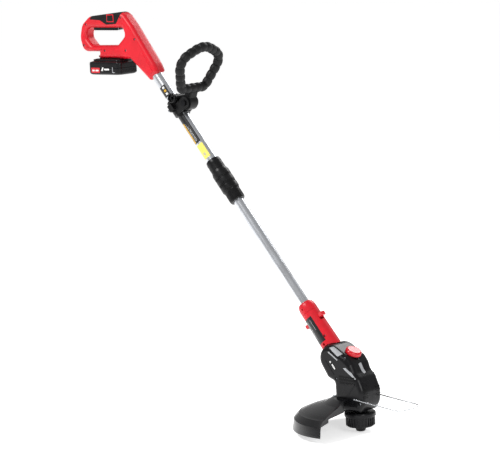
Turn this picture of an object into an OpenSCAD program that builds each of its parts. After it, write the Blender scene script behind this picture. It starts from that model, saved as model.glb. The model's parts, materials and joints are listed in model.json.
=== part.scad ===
// Cordless string trimmer: rear D-handle, telescopic shaft, tilting motor head.
// +X points ahead of the operator, +Y to the left, +Z up along the spool's axis.
// The origin is the centre of the bump knob's bottom face.

/* [Shaft] */
// Lean of the shaft from upright, in degrees
shaft_tilt = 39.4; // [34:0.2:45]
// Height at which the shaft's axis crosses the spool's axis
shaft_cross = 104; // [100:1:106]
// Outer diameter of the upper tube
upper_d = 28; // [24:0.5:32]
// Wall of both tubes
tube_wall = 1.2; // [0.8:0.1:2]
// Bare length of the lower tube between the neck and the collar
lower_out = 308; // [255:1:370]
// Bare length of the upper tube between the collar and the handle
upper_out = 264; // [217:1:320]
// Length of lower tube hidden above the collar's lower end
lower_hidden = 228; // [190:1:275]

/* [Collar] */
// Length of the twist-lock collar
collar_len = 122; // [110:1:150]
// Diameter of the collar's grip rings
collar_d = 44; // [42:0.5:54]

/* [Rear handle] */
// Width of the handle across the hand
grip_w = 37; // [34:0.5:44]
// Radius of the handle's long edges
grip_edge = 10; // [6:0.5:12]
// Wall of the handle shells
grip_wall = 2.8; // [2:0.1:3.2]
// Angle between the handle's level line and the shaft, in degrees
grip_angle = 39.4; // [36:0.2:44]
// Length of the boom between the bare tube and the handle's centre
boom_len = 62; // [60:1:78]
// Thickness of the soft grip insert
insert_t = 1.6; // [1:0.1:2.2]
// Width of the trigger
trigger_w = 16; // [12:0.5:18]

/* [Battery] */
// Length of the battery pack
battery_l = 110; // [104:1:132]
// Width of the battery pack
battery_w = 70; // [69:1:84]
// Height of the battery pack
battery_h = 39; // [36:1:48]
// Wall of the battery case
battery_wall = 2; // [1.5:0.1:2.4]

/* [Front handle] */
// Thickness of the loop's tube
loop_d = 25; // [20:0.5:30]
// Angle between the loop's plane and the shaft, in degrees
loop_lean = 63.4; // [55:0.2:75]
// Height of the clamp above the collar
clamp_up = 166; // [130:1:180]
// Diameter of the loop's hub
hub_d = 38; // [34:0.5:46]
// Width of the loop's hub
hub_w = 26; // [22:0.5:32]

/* [Neck] */
// Distance from the tilt pivot to the neck's seam
neck_len = 127; // [120:1:153]
// Diameter of the neck
neck_d = 43; // [41:0.5:48]
// Growth of the neck's radius from the seam down to the pivot
neck_flare = 2.5; // [0:0.5:4]
// Height of the domed cap above the seam
cap_h = 27; // [24:1:33]
// Width of the tilt lug
lug_w = 22; // [16:0.5:26]

/* [Head] */
// Distance along the shaft from the spool's axis to the tilt pivot
pivot_at = 90; // [86:1:94]
// Width of the motor head
head_w = 76; // [70:1:92]
// Radius of the head's long edges
head_edge = 13; // [9:0.5:14]
// Wall of the head shells
head_wall = 2.5; // [2:0.1:3]
// Radius of the head around the tilt pivot
drum_r = 32; // [31:0.5:34]
// Diameter of the motor can
motor_d = 36; // [30:0.5:38]
// Diameter of the tilt pedal
pedal_d = 39; // [34:1:42]

/* [Guard] */
// Rim radius of the guard about the spool's axis
guard_r = 160; // [140:1:195]
// Wall of the guard
guard_wall = 2.6; // [2:0.1:3.5]
// Angle from straight back to the guard's right end, in degrees
guard_right = 93; // [80:1:96]
// Angle from straight back to the guard's left end, in degrees
guard_left = 61; // [55:1:80]
// Diameter of the flower guard's wire
wire_d = 3; // [2.4:0.1:4]
// Reach of the flower guard in front of its hinge
wire_reach = 143; // [132:1:172]

/* [Spool] */
// Diameter of the spool's top flange
spool_d = 75; // [66:1:80]
// Diameter of the bump knob
knob_d = 27; // [23:0.5:32]
// Diameter of the cutting line
line_d = 1.6; // [1.2:0.1:2.4]

/* [Hidden] */
$fn = 64;

red = [0.80, 0.10, 0.12];
black = [0.10, 0.10, 0.11];
rubber = [0.14, 0.14, 0.15];
steel = [0.70, 0.71, 0.73];
alu = [0.82, 0.83, 0.85];
copper = [0.75, 0.45, 0.25];

fit = 0.05;          // radial gap of a running or seated fit
gap = 0.3;           // clearance between pieces that move past each other
lower_d = upper_d - 2 * tube_wall - 2 * gap;
screw_r = 1.5;
boss_r = 4;
big = 400;

// Stations along the shaft, measured up from the spool's axis
seam_at = pivot_at + neck_len;
cap_top = seam_at + cap_h;
collar_at = cap_top + lower_out;
collar_top = collar_at + collar_len;
boom_at = collar_top + upper_out;
grip_at = boom_at + boom_len;
clamp_at = collar_top + clamp_up;
lower_top = collar_at + lower_hidden;
pivot = [-pivot_at * sin(shaft_tilt), shaft_cross + pivot_at * cos(shaft_tilt)];

// --- outlines: a list of corners [x, z, corner radius], anticlockwise ---

function unit(v) = v / norm(v);
function corner_xy(p) = [p[0], p[1]];
function turn(a, b, c) = (b.x - a.x) * (c.y - b.y) - (b.y - a.y) * (c.x - b.x);

// Arc that rounds the corner b between a and c
function arc_at(a, b, c, r, n = 5) =
    let (u = unit(a - b), v = unit(c - b), half = acos(max(-1, min(1, u * v))) / 2,
         reach = min(r / tan(half), 0.48 * min(norm(a - b), norm(c - b))),
         rr = reach * tan(half), m = b + unit(u + v) * (rr / sin(half)),
         s = b + u * reach, e = b + v * reach,
         a0 = atan2(s.y - m.y, s.x - m.x), a1 = atan2(e.y - m.y, e.x - m.x),
         sweep = (a1 - a0 + 540) % 360 - 180)
    [for (i = [0:n]) m + rr * [cos(a0 + sweep * i / n), sin(a0 + sweep * i / n)]];

function rounded(pts) = let (n = len(pts))
    [for (i = [0:n - 1]) each arc_at(corner_xy(pts[(i + n - 1) % n]),
        corner_xy(pts[i]), corner_xy(pts[(i + 1) % n]), pts[i][2])];

// The same outline, moved inwards by d, with its corner radii kept concentric
function shrink(pts, d) = let (n = len(pts)) [for (i = [0:n - 1])
    let (a = corner_xy(pts[(i + n - 1) % n]), b = corner_xy(pts[i]),
         c = corner_xy(pts[(i + 1) % n]), u = unit(b - a), v = unit(c - b),
         nu = [-u.y, u.x], nv = [-v.y, v.x], m = unit(nu + nv),
         q = b + m * (d / (m * nu)), side = turn(a, b, c) > 0 ? 1 : -1)
    [q.x, q.y, max(0.6, pts[i][2] - side * d)]];

// Prism of width w across Y from an outline in the XZ plane
module slab(w, pts) rotate([90, 0, 0]) linear_extrude(w, center = true) polygon(pts);

// Slab whose long edges are rounded to radius r in steps; hole is an inner outline
module pillow(pts, w, r, d = 0, hole = [])
    for (a = [0, 30, 60]) {
        inset = r * (1 - cos(a)) + d;
        width = w - 2 * r * (1 - sin(a)) - 2 * d;
        difference() {
            slab(width, rounded(shrink(pts, inset)));
            if (len(hole) > 0) slab(width + 2, rounded(shrink(hole, -inset)));
        }
    }

// Keeps the half of a shape on one side of the middle plane: side is -1 or 1
module half(side) intersection() {
    children();
    translate([-big * 3, side < 0 ? -big : 0, -big]) cube([big * 6, big, big * 5]);
}

module on_shaft(s)
    translate([-s * sin(shaft_tilt), 0, shaft_cross + s * cos(shaft_tilt)])
        rotate([0, -shaft_tilt, 0]) children();

module in_grip() on_shaft(grip_at) rotate([0, grip_angle, 0]) children();

// Cylinder across Y, centred on the point [x, z]
module across(p, r, h, y = 0)
    translate([p[0], y, p[1]]) rotate([90, 0, 0]) cylinder(r = r, h = h, center = true);

module block(x, y, z) translate([x[0], y[0], z[0]])
    cube([x[1] - x[0], y[1] - y[0], z[1] - z[0]]);

module ring(ro, ri, h) difference() {
    cylinder(r = ro, h = h);
    translate([0, 0, -1]) cylinder(r = ri, h = h + 2);
}

// --- rear handle, in the grip's level frame centred on the shaft's axis ---

function along(s, off) = [-s * sin(grip_angle) + off * cos(grip_angle),
    s * cos(grip_angle) + off * sin(grip_angle)];
boom_r = upper_d / 2 + 3.5;
boom_low = along(-boom_len, -boom_r);
boom_high = along(-boom_len, boom_r);
boom_mid = along(-boom_len + 20, boom_r + 5);
base_z = -6;
grip_outline = [[-201, 11, 20], [-143, 11, 3], [-149, base_z, 5], [-38, base_z, 8],
    [boom_low.x, boom_low.y, 4], [boom_high.x, boom_high.y, 5],
    [boom_mid.x, boom_mid.y, 60], [-26, 76, 40], [-50, 103, 14], [-64, 110.5, 25],
    [-176, 99.5, 25], [-203, 79, 30], [-212, 45, 40]];
grip_hole = [[-169, 26, 12], [-81, 27, 12], [-52, 52, 12], [-60, 71, 9],
    [-180, 71, 14], [-192, 50, 18]];
insert_outline = [[-168, 92, 3], [-133, 90, 8], [-112, 79, 8], [-77, 81, 8],
    [-61, 104, 6], [-61, 140, 1], [-168, 140, 1]];
grip_screw_at = [[-61, 97], [-184, 80], [-195, 27], [-123, 14], [-50, 15], [-17, 43],
    [28, -34]];
screw_drop = 4;      // depth of a screw head below the handle's side
trigger_axis = [-76, 79];
button_box = [[-106, -87], [88, 102]];
button_out = 2;      // how far the lock-off button stands out
rail_w = 24;
rail_head_w = 30;
rail_top = base_z + grip_wall + 4.9;
rail_x = [-147, -78];

module grip_solid(d = 0) pillow(grip_outline, grip_w, grip_edge, d, grip_hole);

module insert_zone() difference() {
    slab(grip_w + 4, rounded(insert_outline));
    grip_solid(insert_t);
}

module button_hole(g = gap)
    block([button_box[0][0] - g, button_box[0][1] + g], [-grip_w, 0],
        [button_box[1][0] - g, button_box[1][1] + g]);

module rail_slot() {
    block([-big, -76], [-rail_w / 2 - gap, rail_w / 2 + gap], [base_z - 1, 0]);
    block([-big, -76], [-rail_head_w / 2 - gap, rail_head_w / 2 + gap],
        [base_z + grip_wall, rail_top + gap]);
}

module handle_half(side) color(red) in_grip() half(side) difference() {
    union() {
        difference() {
            grip_solid();
            grip_solid(grip_wall);
            rail_slot();
        }
        intersection() {
            union() {
                for (p = grip_screw_at) across(p, boss_r, grip_w);
                across(trigger_axis, boss_r, grip_w);
            }
            grip_solid(1);
        }
    }
    rotate([0, -grip_angle, 0]) translate([0, 0, -boom_len - 10])
        cylinder(r = upper_d / 2 + fit, h = boom_len + 52);
    block([-173, -66], [-trigger_w / 2 - gap, trigger_w / 2 + gap], [60, 85]);
    insert_zone();
    button_hole();
    across(trigger_axis, 2 + fit, grip_w - 8);
    for (p = grip_screw_at) {
        across(p, screw_r + fit, grip_w - 2 * screw_drop);
        across(p, 3.2, screw_drop * 2, -grip_w / 2);
    }
}
module handle_right() handle_half(-1);
module handle_left() handle_half(1);

module grip_insert() color(rubber) in_grip() difference() {
    intersection() {
        grip_solid();
        insert_zone();
    }
    button_hole();
}

// Pan-head screw along +Y whose head's top is at y
module grip_screw(p, y) {
    across(p, 2.9, 2.2, y + 1.1);
    across(p, screw_r, grip_w - 15, y + 2.2 + (grip_w - 15) / 2);
}
module handle_screws() color(steel) in_grip()
    for (p = grip_screw_at) grip_screw(p, -grip_w / 2 + screw_drop - 2.2);

module trigger_pin() color(steel) in_grip() across(trigger_axis, 2, grip_w - 9);

module power_switch() color(black) in_grip() {
    block([-134, -112], [-5, 5], [84, 98]);
    block([-125, -121], [-2, 2], [81, 84]);
}

module terminal_block() color(black) in_grip() {
    intersection() {
        block([-76, -62], [-14, 14], [base_z + grip_wall, rail_top + 8]);
        grip_solid(grip_wall);
    }
    for (y = [-8, 0, 8])
        block([-88, -76], [y - 0.4, y + 0.4], [base_z + grip_wall + 1, rail_top - 0.6]);
}

module lock_bezel() color(red) in_grip() difference() {
    block([button_box[0][0] - 2.6, button_box[0][1] + 2.6],
        [-grip_w / 2 - 0.8, -grip_w / 2], [button_box[1][0] - 2.6, button_box[1][1] + 2.6]);
    button_hole();
}

module lock_off_button() color(black) in_grip()
    block(button_box[0], [-grip_w / 2 - button_out, -grip_w / 2 + 12], button_box[1]);

// Long bar under the grip, with a knuckle on the pin at its front
trigger_outline = [[-166, 64, 3], [-84, 64, 6], [-69, 68, 3], [-69, 76, 2], [-166, 76, 2]];
module trigger() color(black) in_grip() difference() {
    union() {
        slab(trigger_w, rounded(trigger_outline));
        across(trigger_axis, 6, trigger_w);
    }
    across(trigger_axis, 2 + fit, trigger_w + 2);
}
module trigger_spring() color(steel) in_grip() translate([-150, 0, 84]) ring(4, 3.2, 11);

// --- battery pack, in the same level frame ---

battery_top = base_z - gap;
battery_mid = -114;
battery_x = [battery_mid - battery_l / 2, battery_mid + battery_l / 2];
battery_low = battery_top - battery_h;
battery_split = battery_top - 0.55 * battery_h;
battery_side = [[battery_x[0], battery_low, 8], [battery_x[1], battery_low, 8],
    [battery_x[1], battery_top, 10], [battery_x[0], battery_top, 12]];
shoulder = battery_w / 2 - 12;
battery_end = [[-battery_w / 2, battery_low, 7], [battery_w / 2, battery_low, 7],
    [battery_w / 2, battery_top - 12, 6], [shoulder, battery_top, 4],
    [-shoulder, battery_top, 4], [-battery_w / 2, battery_top - 12, 6]];
battery_plan = [[battery_x[0], -battery_w / 2, 11], [battery_x[1], -battery_w / 2, 11],
    [battery_x[1], battery_w / 2, 11], [battery_x[0], battery_w / 2, 11]];
cell_r = 9;
cell_l = 65;
cell_lift = 3;       // height of the cells above the case's floor
latch_box = [[battery_x[0] - 1.5, battery_x[0] + 7], [-12, 12],
    [battery_top - 17, battery_top - 2]];
latch_travel = 3;

module battery_solid(d = 0) intersection() {
    slab(battery_w, rounded(shrink(battery_side, d)));
    translate([battery_x[0] - 1, 0, 0]) rotate([90, 0, 90])
        linear_extrude(battery_l + 2) polygon(rounded(shrink(battery_end, d)));
    translate([0, 0, battery_low - 1]) linear_extrude(battery_h + 2)
        polygon(rounded(shrink(battery_plan, d)));
}
module latch_pocket(g) block([latch_box[0][0] - 5, latch_box[0][1] + g],
    [latch_box[1][0] - g, latch_box[1][1] + g],
    [latch_box[2][0] - g - latch_travel, latch_box[2][1] + g]);

module battery_shell() difference() {
    union() {
        difference() {
            battery_solid();
            battery_solid(battery_wall);
        }
        intersection() {
            battery_solid();
            latch_pocket(gap + 1.4);
        }
    }
    latch_pocket(gap);
}
module battery_cover() color(black) in_grip() difference() {
    union() {
        intersection() {
            battery_shell();
            block([-big, big], [-big, big], [battery_split, big]);
        }
        block(rail_x, [-rail_w / 2, rail_w / 2], [battery_top - 0.5, rail_top]);
        block(rail_x, [-rail_head_w / 2, rail_head_w / 2],
            [base_z + grip_wall + gap, rail_top]);
    }
    for (y = [-8, 0, 8])
        block([-92, -70], [y - 0.8, y + 0.8], [base_z + grip_wall, rail_top + 1]);
}
module battery_tray() color(black) in_grip() intersection() {
    battery_shell();
    block([-big, big], [-big, big], [-big, battery_split]);
}
module battery_cells() color("steelblue") in_grip() for (i = [-2:2])
    across([battery_mid + i * (2 * cell_r + 0.4),
        battery_low + battery_wall + cell_r + cell_lift], cell_r, cell_l);
module battery_latch() color(red) in_grip()
    block(latch_box[0], latch_box[1], latch_box[2]);

// --- tubes and the twist-lock collar, on the shaft's axis ---

sleeve_at = 0.754 * collar_len;      // height of the joint between nut and sleeve
tube_end = 46;                       // lower end of the upper tube, above the collar's end
spigot_r = upper_d / 2 + 2.5;
nut_bore = spigot_r + fit;
tube_top = boom_len + 40;

module upper_tube() color(alu) difference() {
    on_shaft(collar_at + tube_end)
        ring(upper_d / 2, upper_d / 2 - tube_wall, boom_at - collar_at - tube_end + tube_top);
    in_grip() across(grip_screw_at[6], boss_r + fit, upper_d + 4);
}
module lead_coil() color(black) on_shaft(collar_at + 98) ring(9, 4, boom_at - collar_at - 98);

module collar_sleeve() color(black) on_shaft(collar_at) difference() {
    union() {
        translate([0, 0, tube_end + 2])
            cylinder(r = spigot_r, h = collar_len - tube_end - 4);
        translate([0, 0, sleeve_at]) rotate_extrude()
            polygon([[0, 0], [upper_d / 2 + 4.5, 0], [upper_d / 2 + 5, 2],
                [upper_d / 2 + 4.6, collar_len - sleeve_at - 3],
                [upper_d / 2 + 2.6, collar_len - sleeve_at], [0, collar_len - sleeve_at]]);
    }
    translate([0, 0, -1]) cylinder(r = upper_d / 2 + fit, h = collar_len + 2);
}
module tube_wedge() color(black) on_shaft(collar_at + 20)
    ring(nut_bore - gap, lower_d / 2 + fit, tube_end - 22);

ring_count = 3;
module collar_nut() color(black) on_shaft(collar_at) difference() {
    union() {
        rotate_extrude() polygon([[0, 0], [collar_d / 2 - 4.4, 0],
            [collar_d / 2 - 3.4, 2], [collar_d / 2 - 2.9, 27], [collar_d / 2 - 1.2, 30],
            [collar_d / 2 - 1.2, sleeve_at - 4], [collar_d / 2 - 3, sleeve_at - gap],
            [0, sleeve_at - gap]]);
        for (i = [0:ring_count - 1]) translate([0, 0, 33 + i * 19])
            cylinder(r = collar_d / 2, h = 13);
    }
    translate([0, 0, 18]) cylinder(r = nut_bore, h = collar_len);
    translate([0, 0, -1]) cylinder(r = lower_d / 2 + gap, h = 30);
}

module lower_tube() color(alu) on_shaft(seam_at - spigot_l)
    ring(lower_d / 2, lower_d / 2 - tube_wall, lower_top - seam_at + spigot_l);
module lower_lead() color(black) on_shaft(seam_at - spigot_l)
    cylinder(r = 2.5, h = collar_at - seam_at + 100);

// --- front loop handle and its clamp, around the upper tube ---

hub_off = upper_d / 2 + 4 + hub_d / 2;
hub_z = -14;         // hub's height above the clamp's middle
clamp_r = upper_d / 2 + 5;
clamp_len = 54;
back_len = 40;
ear_t = 5;
ear_y = hub_w / 2 + gap;
bolt_r = 4;
knob_bolt_r = 3;
knob_bolt = [upper_d / 2 + 7.5, hub_z + hub_d / 2 + 9];
clamp_screw_y = clamp_r + 3.5;
clamp_side = ear_y + ear_t;

module hub_axis(r, h, y = 0) across([hub_off, hub_z], r, h, y);
module clamp_bores() {
    translate([0, 0, -big]) cylinder(r = upper_d / 2 + fit, h = 2 * big);
    for (side = [-1, 1]) translate([0, side * clamp_screw_y, 0]) rotate([0, 90, 0])
        cylinder(r = 2 + fit, h = 40, center = true);
}
module clamp_front() color(black) on_shaft(clamp_at) difference() {
    union() {
        intersection() {
            translate([0, 0, -clamp_len / 2]) cylinder(r = clamp_r, h = clamp_len);
            block([0.2, big], [-big, big], [-big, big]);
        }
        for (side = [-1, 1]) translate([0, side * (ear_y + ear_t / 2), 0]) {
            across([hub_off, hub_z], 15, ear_t);
            block([4, hub_off], [-ear_t / 2, ear_t / 2], [hub_z - 11, hub_z + 15]);
        }
        across(knob_bolt, 8, 2 * clamp_side);
        block([4, knob_bolt.x], [-clamp_side, clamp_side], [knob_bolt.y - 8, knob_bolt.y + 8]);
        block([0.2, 7], [-clamp_screw_y - 5, clamp_screw_y + 5], [-9, 9]);
    }
    clamp_bores();
    hub_axis(hub_d / 2 + gap, hub_w + 2 * gap);
    hub_axis(bolt_r + fit, big);
    across(knob_bolt, knob_bolt_r + fit, big);
}
module clamp_back() color(black) on_shaft(clamp_at) difference() {
    union() {
        intersection() {
            translate([0, 0, -back_len / 2]) cylinder(r = clamp_r, h = back_len);
            block([-big, -0.2], [-big, big], [-big, big]);
        }
        block([-7, -0.2], [-clamp_screw_y - 5, clamp_screw_y + 5], [-9, 9]);
    }
    clamp_bores();
}
module clamp_screws() color(steel) on_shaft(clamp_at) for (side = [-1, 1])
    translate([0, side * clamp_screw_y, 0]) rotate([0, 90, 0]) {
        translate([0, 0, -9]) cylinder(r = 2, h = 15);
        translate([0, 0, -10.6]) cylinder(r = 3.6, h = 3.55);
    }
module loop_bolt() color(steel) on_shaft(clamp_at) {
    hub_axis(bolt_r, 2 * clamp_side + 8, 4);
    hub_axis(7.5, 4, -clamp_side - 2);
    across(knob_bolt, knob_bolt_r, 2 * clamp_side + 22, -4);
}
module loop_nut() color(steel) on_shaft(clamp_at) difference() {
    union() {
        hub_axis(7, 6, clamp_side + 3);
        across(knob_bolt, 5.5, 5, clamp_side + 2.5);
    }
    hub_axis(bolt_r + fit, big);
    across(knob_bolt, knob_bolt_r + fit, big);
}
knob_r = 12;
knob_t = 13;
module loop_knob() color(black) on_shaft(clamp_at) difference() {
    union() {
        across(knob_bolt, knob_r, knob_t - 3, -clamp_side - gap - 3 - (knob_t - 3) / 2);
        across(knob_bolt, 7, 4, -clamp_side - gap - 2);
    }
    across(knob_bolt, knob_bolt_r + fit, big);
    across(knob_bolt, knob_r - 3.5, 8, -clamp_side - gap - knob_t);
}

// Loop outline in its own plane, [y, height above the hub, corner radius]
loop_path = [[-42, 38, 16], [42, 38, 16], [76, 118, 32], [0, 155, 62], [-76, 118, 32]];

// Points along an open path with rounded corners
function open_path(pts) = let (n = len(pts)) [corner_xy(pts[0]),
    for (i = [1:n - 2]) each arc_at(corner_xy(pts[i - 1]), corner_xy(pts[i]),
        corner_xy(pts[i + 1]), pts[i][2]), corner_xy(pts[n - 1])];

// Direction across a flat path at point i, in the path's plane
function across_path(q, i, closed) = let (n = len(q),
        back = closed || i > 0 ? unit(q[i] - q[(i + n - 1) % n]) : unit(q[1] - q[0]),
        ahead = closed || i < n - 1 ? unit(q[(i + 1) % n] - q[i]) : back,
        t = unit(back + ahead)) [t.y, -t.x];

// Round rod swept along a flat path q in the XY plane
module sweep(q, r, sides, closed) {
    n = len(q);
    rings = closed ? n : n - 1;
    points = [for (i = [0:n - 1]) let (w = across_path(q, i, closed)) for (k = [0:sides - 1])
        let (a = 360 * k / sides) [q[i].x + r * cos(a) * w.x, q[i].y + r * cos(a) * w.y,
            r * sin(a)]];
    walls = [for (i = [0:rings - 1]) let (j = (i + 1) % n) for (k = [0:sides - 1])
        let (m = (k + 1) % sides)
        each [[i * sides + k, i * sides + m, j * sides + m],
            [i * sides + k, j * sides + m, j * sides + k]]];
    ends = closed ? [] : [[for (k = [sides - 1:-1:0]) k],
        [for (k = [0:sides - 1]) (n - 1) * sides + k]];
    polyhedron(points, concat(walls, ends));
}
module in_loop() on_shaft(clamp_at) translate([hub_off, 0, hub_z])
    rotate([0, loop_lean, 0]) children();
module loop_handle() color(rubber) in_loop() difference() {
    union() {
        rotate([90, 0, 90]) sweep(rounded(loop_path), loop_d / 2, 20, true);
        across([0, 0], hub_d / 2, hub_w);
        block([-hub_d / 2 + 8, hub_d / 2 - 8], [-hub_w / 2, hub_w / 2], [0, 38]);
    }
    across([0, 0], bolt_r + fit, hub_w + 2);
}

// --- neck: cap on the lower tube, and the body that turns below the seam ---

neck_r = neck_d / 2;
spig_r = lower_d / 2 + 2.5;
flange_r = spig_r + 2;
seam_gap = 0.4;
tab_z = -22;
spigot_l = 10;       // depth of the cap's spigot below the seam
flange_t = 4;
ring_h = 9;
ring_travel = 5;
neck_floor = 62;     // height of the neck's floor above the pivot
drum_clear = 2.2;    // room between the neck's foot and the head's drum

module neck_cap() color(red) on_shaft(seam_at) difference() {
    union() {
        rotate_extrude() polygon(concat([[0, 0], [neck_r, 0]],
            [for (a = [0:15:75]) [lower_d / 2 + 2 + (neck_r - lower_d / 2 - 2) * cos(a),
                0.35 * cap_h + 0.65 * cap_h * sin(a)]],
            [[lower_d / 2 + 2, cap_h], [0, cap_h]]));
        translate([0, 0, -spigot_l]) cylinder(r = spig_r, h = spigot_l + 1);
        translate([0, 0, -spigot_l - flange_t]) cylinder(r = flange_r, h = flange_t);
    }
    translate([0, 0, -spigot_l - flange_t - 1])
        cylinder(r = lower_d / 2 + fit, h = spigot_l + flange_t + cap_h + 2);
    translate([0, 0, 12]) rotate([90, 0, 0]) cylinder(r = 2, h = neck_r + 1);
}

module neck_body() difference() {
    union() {
        difference() {
            translate([0, 0, -neck_len])
                cylinder(r1 = neck_r + neck_flare, r2 = neck_r, h = neck_len - seam_gap);
            across([0, -neck_len], drum_r + drum_clear, 100);
        }
        difference() {
            union() {
                across([0, -neck_len], drum_r - 12, lug_w);
                block([-8, 8], [-lug_w / 2, lug_w / 2], [-neck_len, -neck_len + drum_r + 6]);
            }
            across([0, -neck_len], 5 + fit, 100);
        }
    }
    translate([0, 0, -spigot_l - 0.2]) cylinder(r = spig_r + fit, h = spigot_l + 2);
    translate([0, 0, -spigot_l - flange_t - gap])
        cylinder(r = flange_r + fit, h = flange_t + 0.4);
    translate([0, 0, -neck_len + neck_floor])
        cylinder(r = neck_r - 3, h = neck_len - neck_floor + tab_z + ring_h / 2 + gap);
    translate([0, 0, -spigot_l - flange_t - 4]) cylinder(r = spig_r, h = 4);
    block([-50, 50], [-7.3, 7.3], [tab_z - ring_h / 2 - gap - ring_travel,
        tab_z + ring_h / 2 + gap]);
    for (s = neck_screw_at) {
        across(s, screw_r + fit, neck_d - 2 * neck_drop);
        across(s, 3.2, 2 * neck_drop, -neck_r);
    }
}
neck_screw_at = [[0, -neck_len + drum_r + 7], [12, -neck_len + 55], [-12, -neck_len + 55]];
neck_drop = 8;       // depth of the screws' seats below the neck's side
module neck_right() color(red) on_shaft(seam_at) half(-1) neck_body();
module neck_left() color(red) on_shaft(seam_at) half(1) neck_body();
module neck_screws() color(steel) on_shaft(seam_at) for (s = neck_screw_at) {
    across(s, 2.9, 2, -neck_r + neck_drop - 1);
    across(s, screw_r, 22, -neck_r + neck_drop + 11);
}
module release_ring() color(red) on_shaft(seam_at) {
    translate([0, 0, tab_z - ring_h / 2]) ring(neck_r - 3.4, neck_r - 7, ring_h);
    for (side = [0, 1]) rotate([0, 0, 180 * side])
        block([neck_r - 4.5, neck_r + 10.5], [-7, 7],
            [tab_z - ring_h / 2, tab_z + ring_h / 2]);
}
module release_spring() color(steel) on_shaft(seam_at)
    translate([0, 0, -neck_len + neck_floor])
        ring(neck_r - 3.6, neck_r - 5.2, neck_len - neck_floor + tab_z - ring_h / 2 - 8);

// --- motor head ---

function on_drum(a, r) = [pivot.x + r * cos(a), pivot.y + r * sin(a)];
drum_span = [59, 217];          // where the top and the back leave the drum
quarter = (drum_span[1] - drum_span[0]) / 4;
drum_a = on_drum(drum_span[0] + quarter, drum_r / cos(quarter));
drum_b = on_drum(drum_span[1] - quarter, drum_r / cos(quarter));
head_low = 52;
head_outline = [[-46, head_low, 3], [27, head_low, 6], [40, 72, 30], [41, 102, 30],
    [28, 133, 20], [14, 146, 20], [8, 164, 12], [-4, 180, 10],
    [drum_a.x, drum_a.y, drum_r], [drum_b.x, drum_b.y, drum_r], [-67, 127, 12],
    [-47, 119, 8]];
head_drop = 5;       // depth of the screws' seats in the head's side
head_screw_at = [[-38, 62], [30, 74], [12, 134], [-37, 128]];
pedal_at = [-12, 187];
pedal_tilt = 25;
pedal_travel = 5;
tilt_range = [-20, 30];
motor_z = [62, 118];
wire_hinge = [14, 84.5];
wire_drop = 6.5;     // slope of the flower guard in degrees
guard_top = 84;

module in_pedal() translate([pedal_at.x, 0, pedal_at.y]) rotate([0, pedal_tilt, 0]) children();

// The lug's room: its disc, and the wedge that the neck sweeps as the head tilts
module lug_room() {
    across(pivot, drum_r - 12 + gap, lug_w + 2 * gap);
    intersection() {
        across(pivot, drum_r + 10, lug_w + 2 * gap);
        slab(lug_w + 2 * gap, [pivot, on_drum(90 + shaft_tilt + tilt_range[0] - 25, 90),
            on_drum(140, 90), on_drum(90 + shaft_tilt + tilt_range[1] + 25, 90)]);
    }
}
module head_boss(p) across(p, boss_r, head_w);

module head_half(side) color(black) half(side) difference() {
    union() {
        difference() {
            pillow(head_outline, head_w, head_edge);
            pillow(head_outline, head_w, head_edge, head_wall);
        }
        intersection() {
            union() {
                for (p = head_screw_at) head_boss(p);
                across(pivot, 9, head_w);
                across(wire_hinge, 5, head_w);
            }
            pillow(head_outline, head_w, head_edge, 1);
        }
    }
    lug_room();
    across(pivot, 5 + fit, head_w - 7);
    for (y = [-1, 1])
        across(wire_hinge, wire_d / 2 + fit, 20, y * head_w / 2);
    across(wire_hinge, 6, head_w - 26);
    in_pedal() {
        translate([0, 0, -pedal_travel - 4]) cylinder(r = pedal_d / 2 + gap, h = 40);
        translate([0, 0, -30]) cylinder(r = 7.3, h = 40);
    }
    translate([0, 0, head_low - 1]) cylinder(r = 9, h = 6);
    for (p = head_screw_at) {
        across(p, screw_r + fit, head_w - 2 * head_drop);
        across(p, 3.2, 2 * head_drop, -head_w / 2);
    }
}
module head_right() head_half(-1);
module head_left() head_half(1);
module head_screws() color(steel) for (p = head_screw_at) {
    across(p, 2.9, 2.2, -head_w / 2 + head_drop - 1.1);
    across(p, screw_r, 30, -head_w / 2 + head_drop + 15);
}
module pivot_pin() color(steel) across(pivot, 5, head_w - 8);
module motor() color(steel) translate([0, 0, motor_z[0]]) difference() {
    union() {
        cylinder(r = motor_d / 2, h = motor_z[1] - motor_z[0]);
        translate([0, 0, motor_z[1] - motor_z[0]]) cylinder(r = 6, h = 4);
    }
    translate([0, 0, -1]) cylinder(r = 2.5 + fit, h = 20);
}
module motor_mount() color(black) translate([0, 0, head_low + head_wall])
    ring(22, 8, motor_z[0] - head_low - head_wall);

// Radial section of the guard, [radius, height]: boss, top, skirt
guard_low = 14;
end_wall_in = 2.5;   // angle of the guard's end walls inside its span
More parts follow.
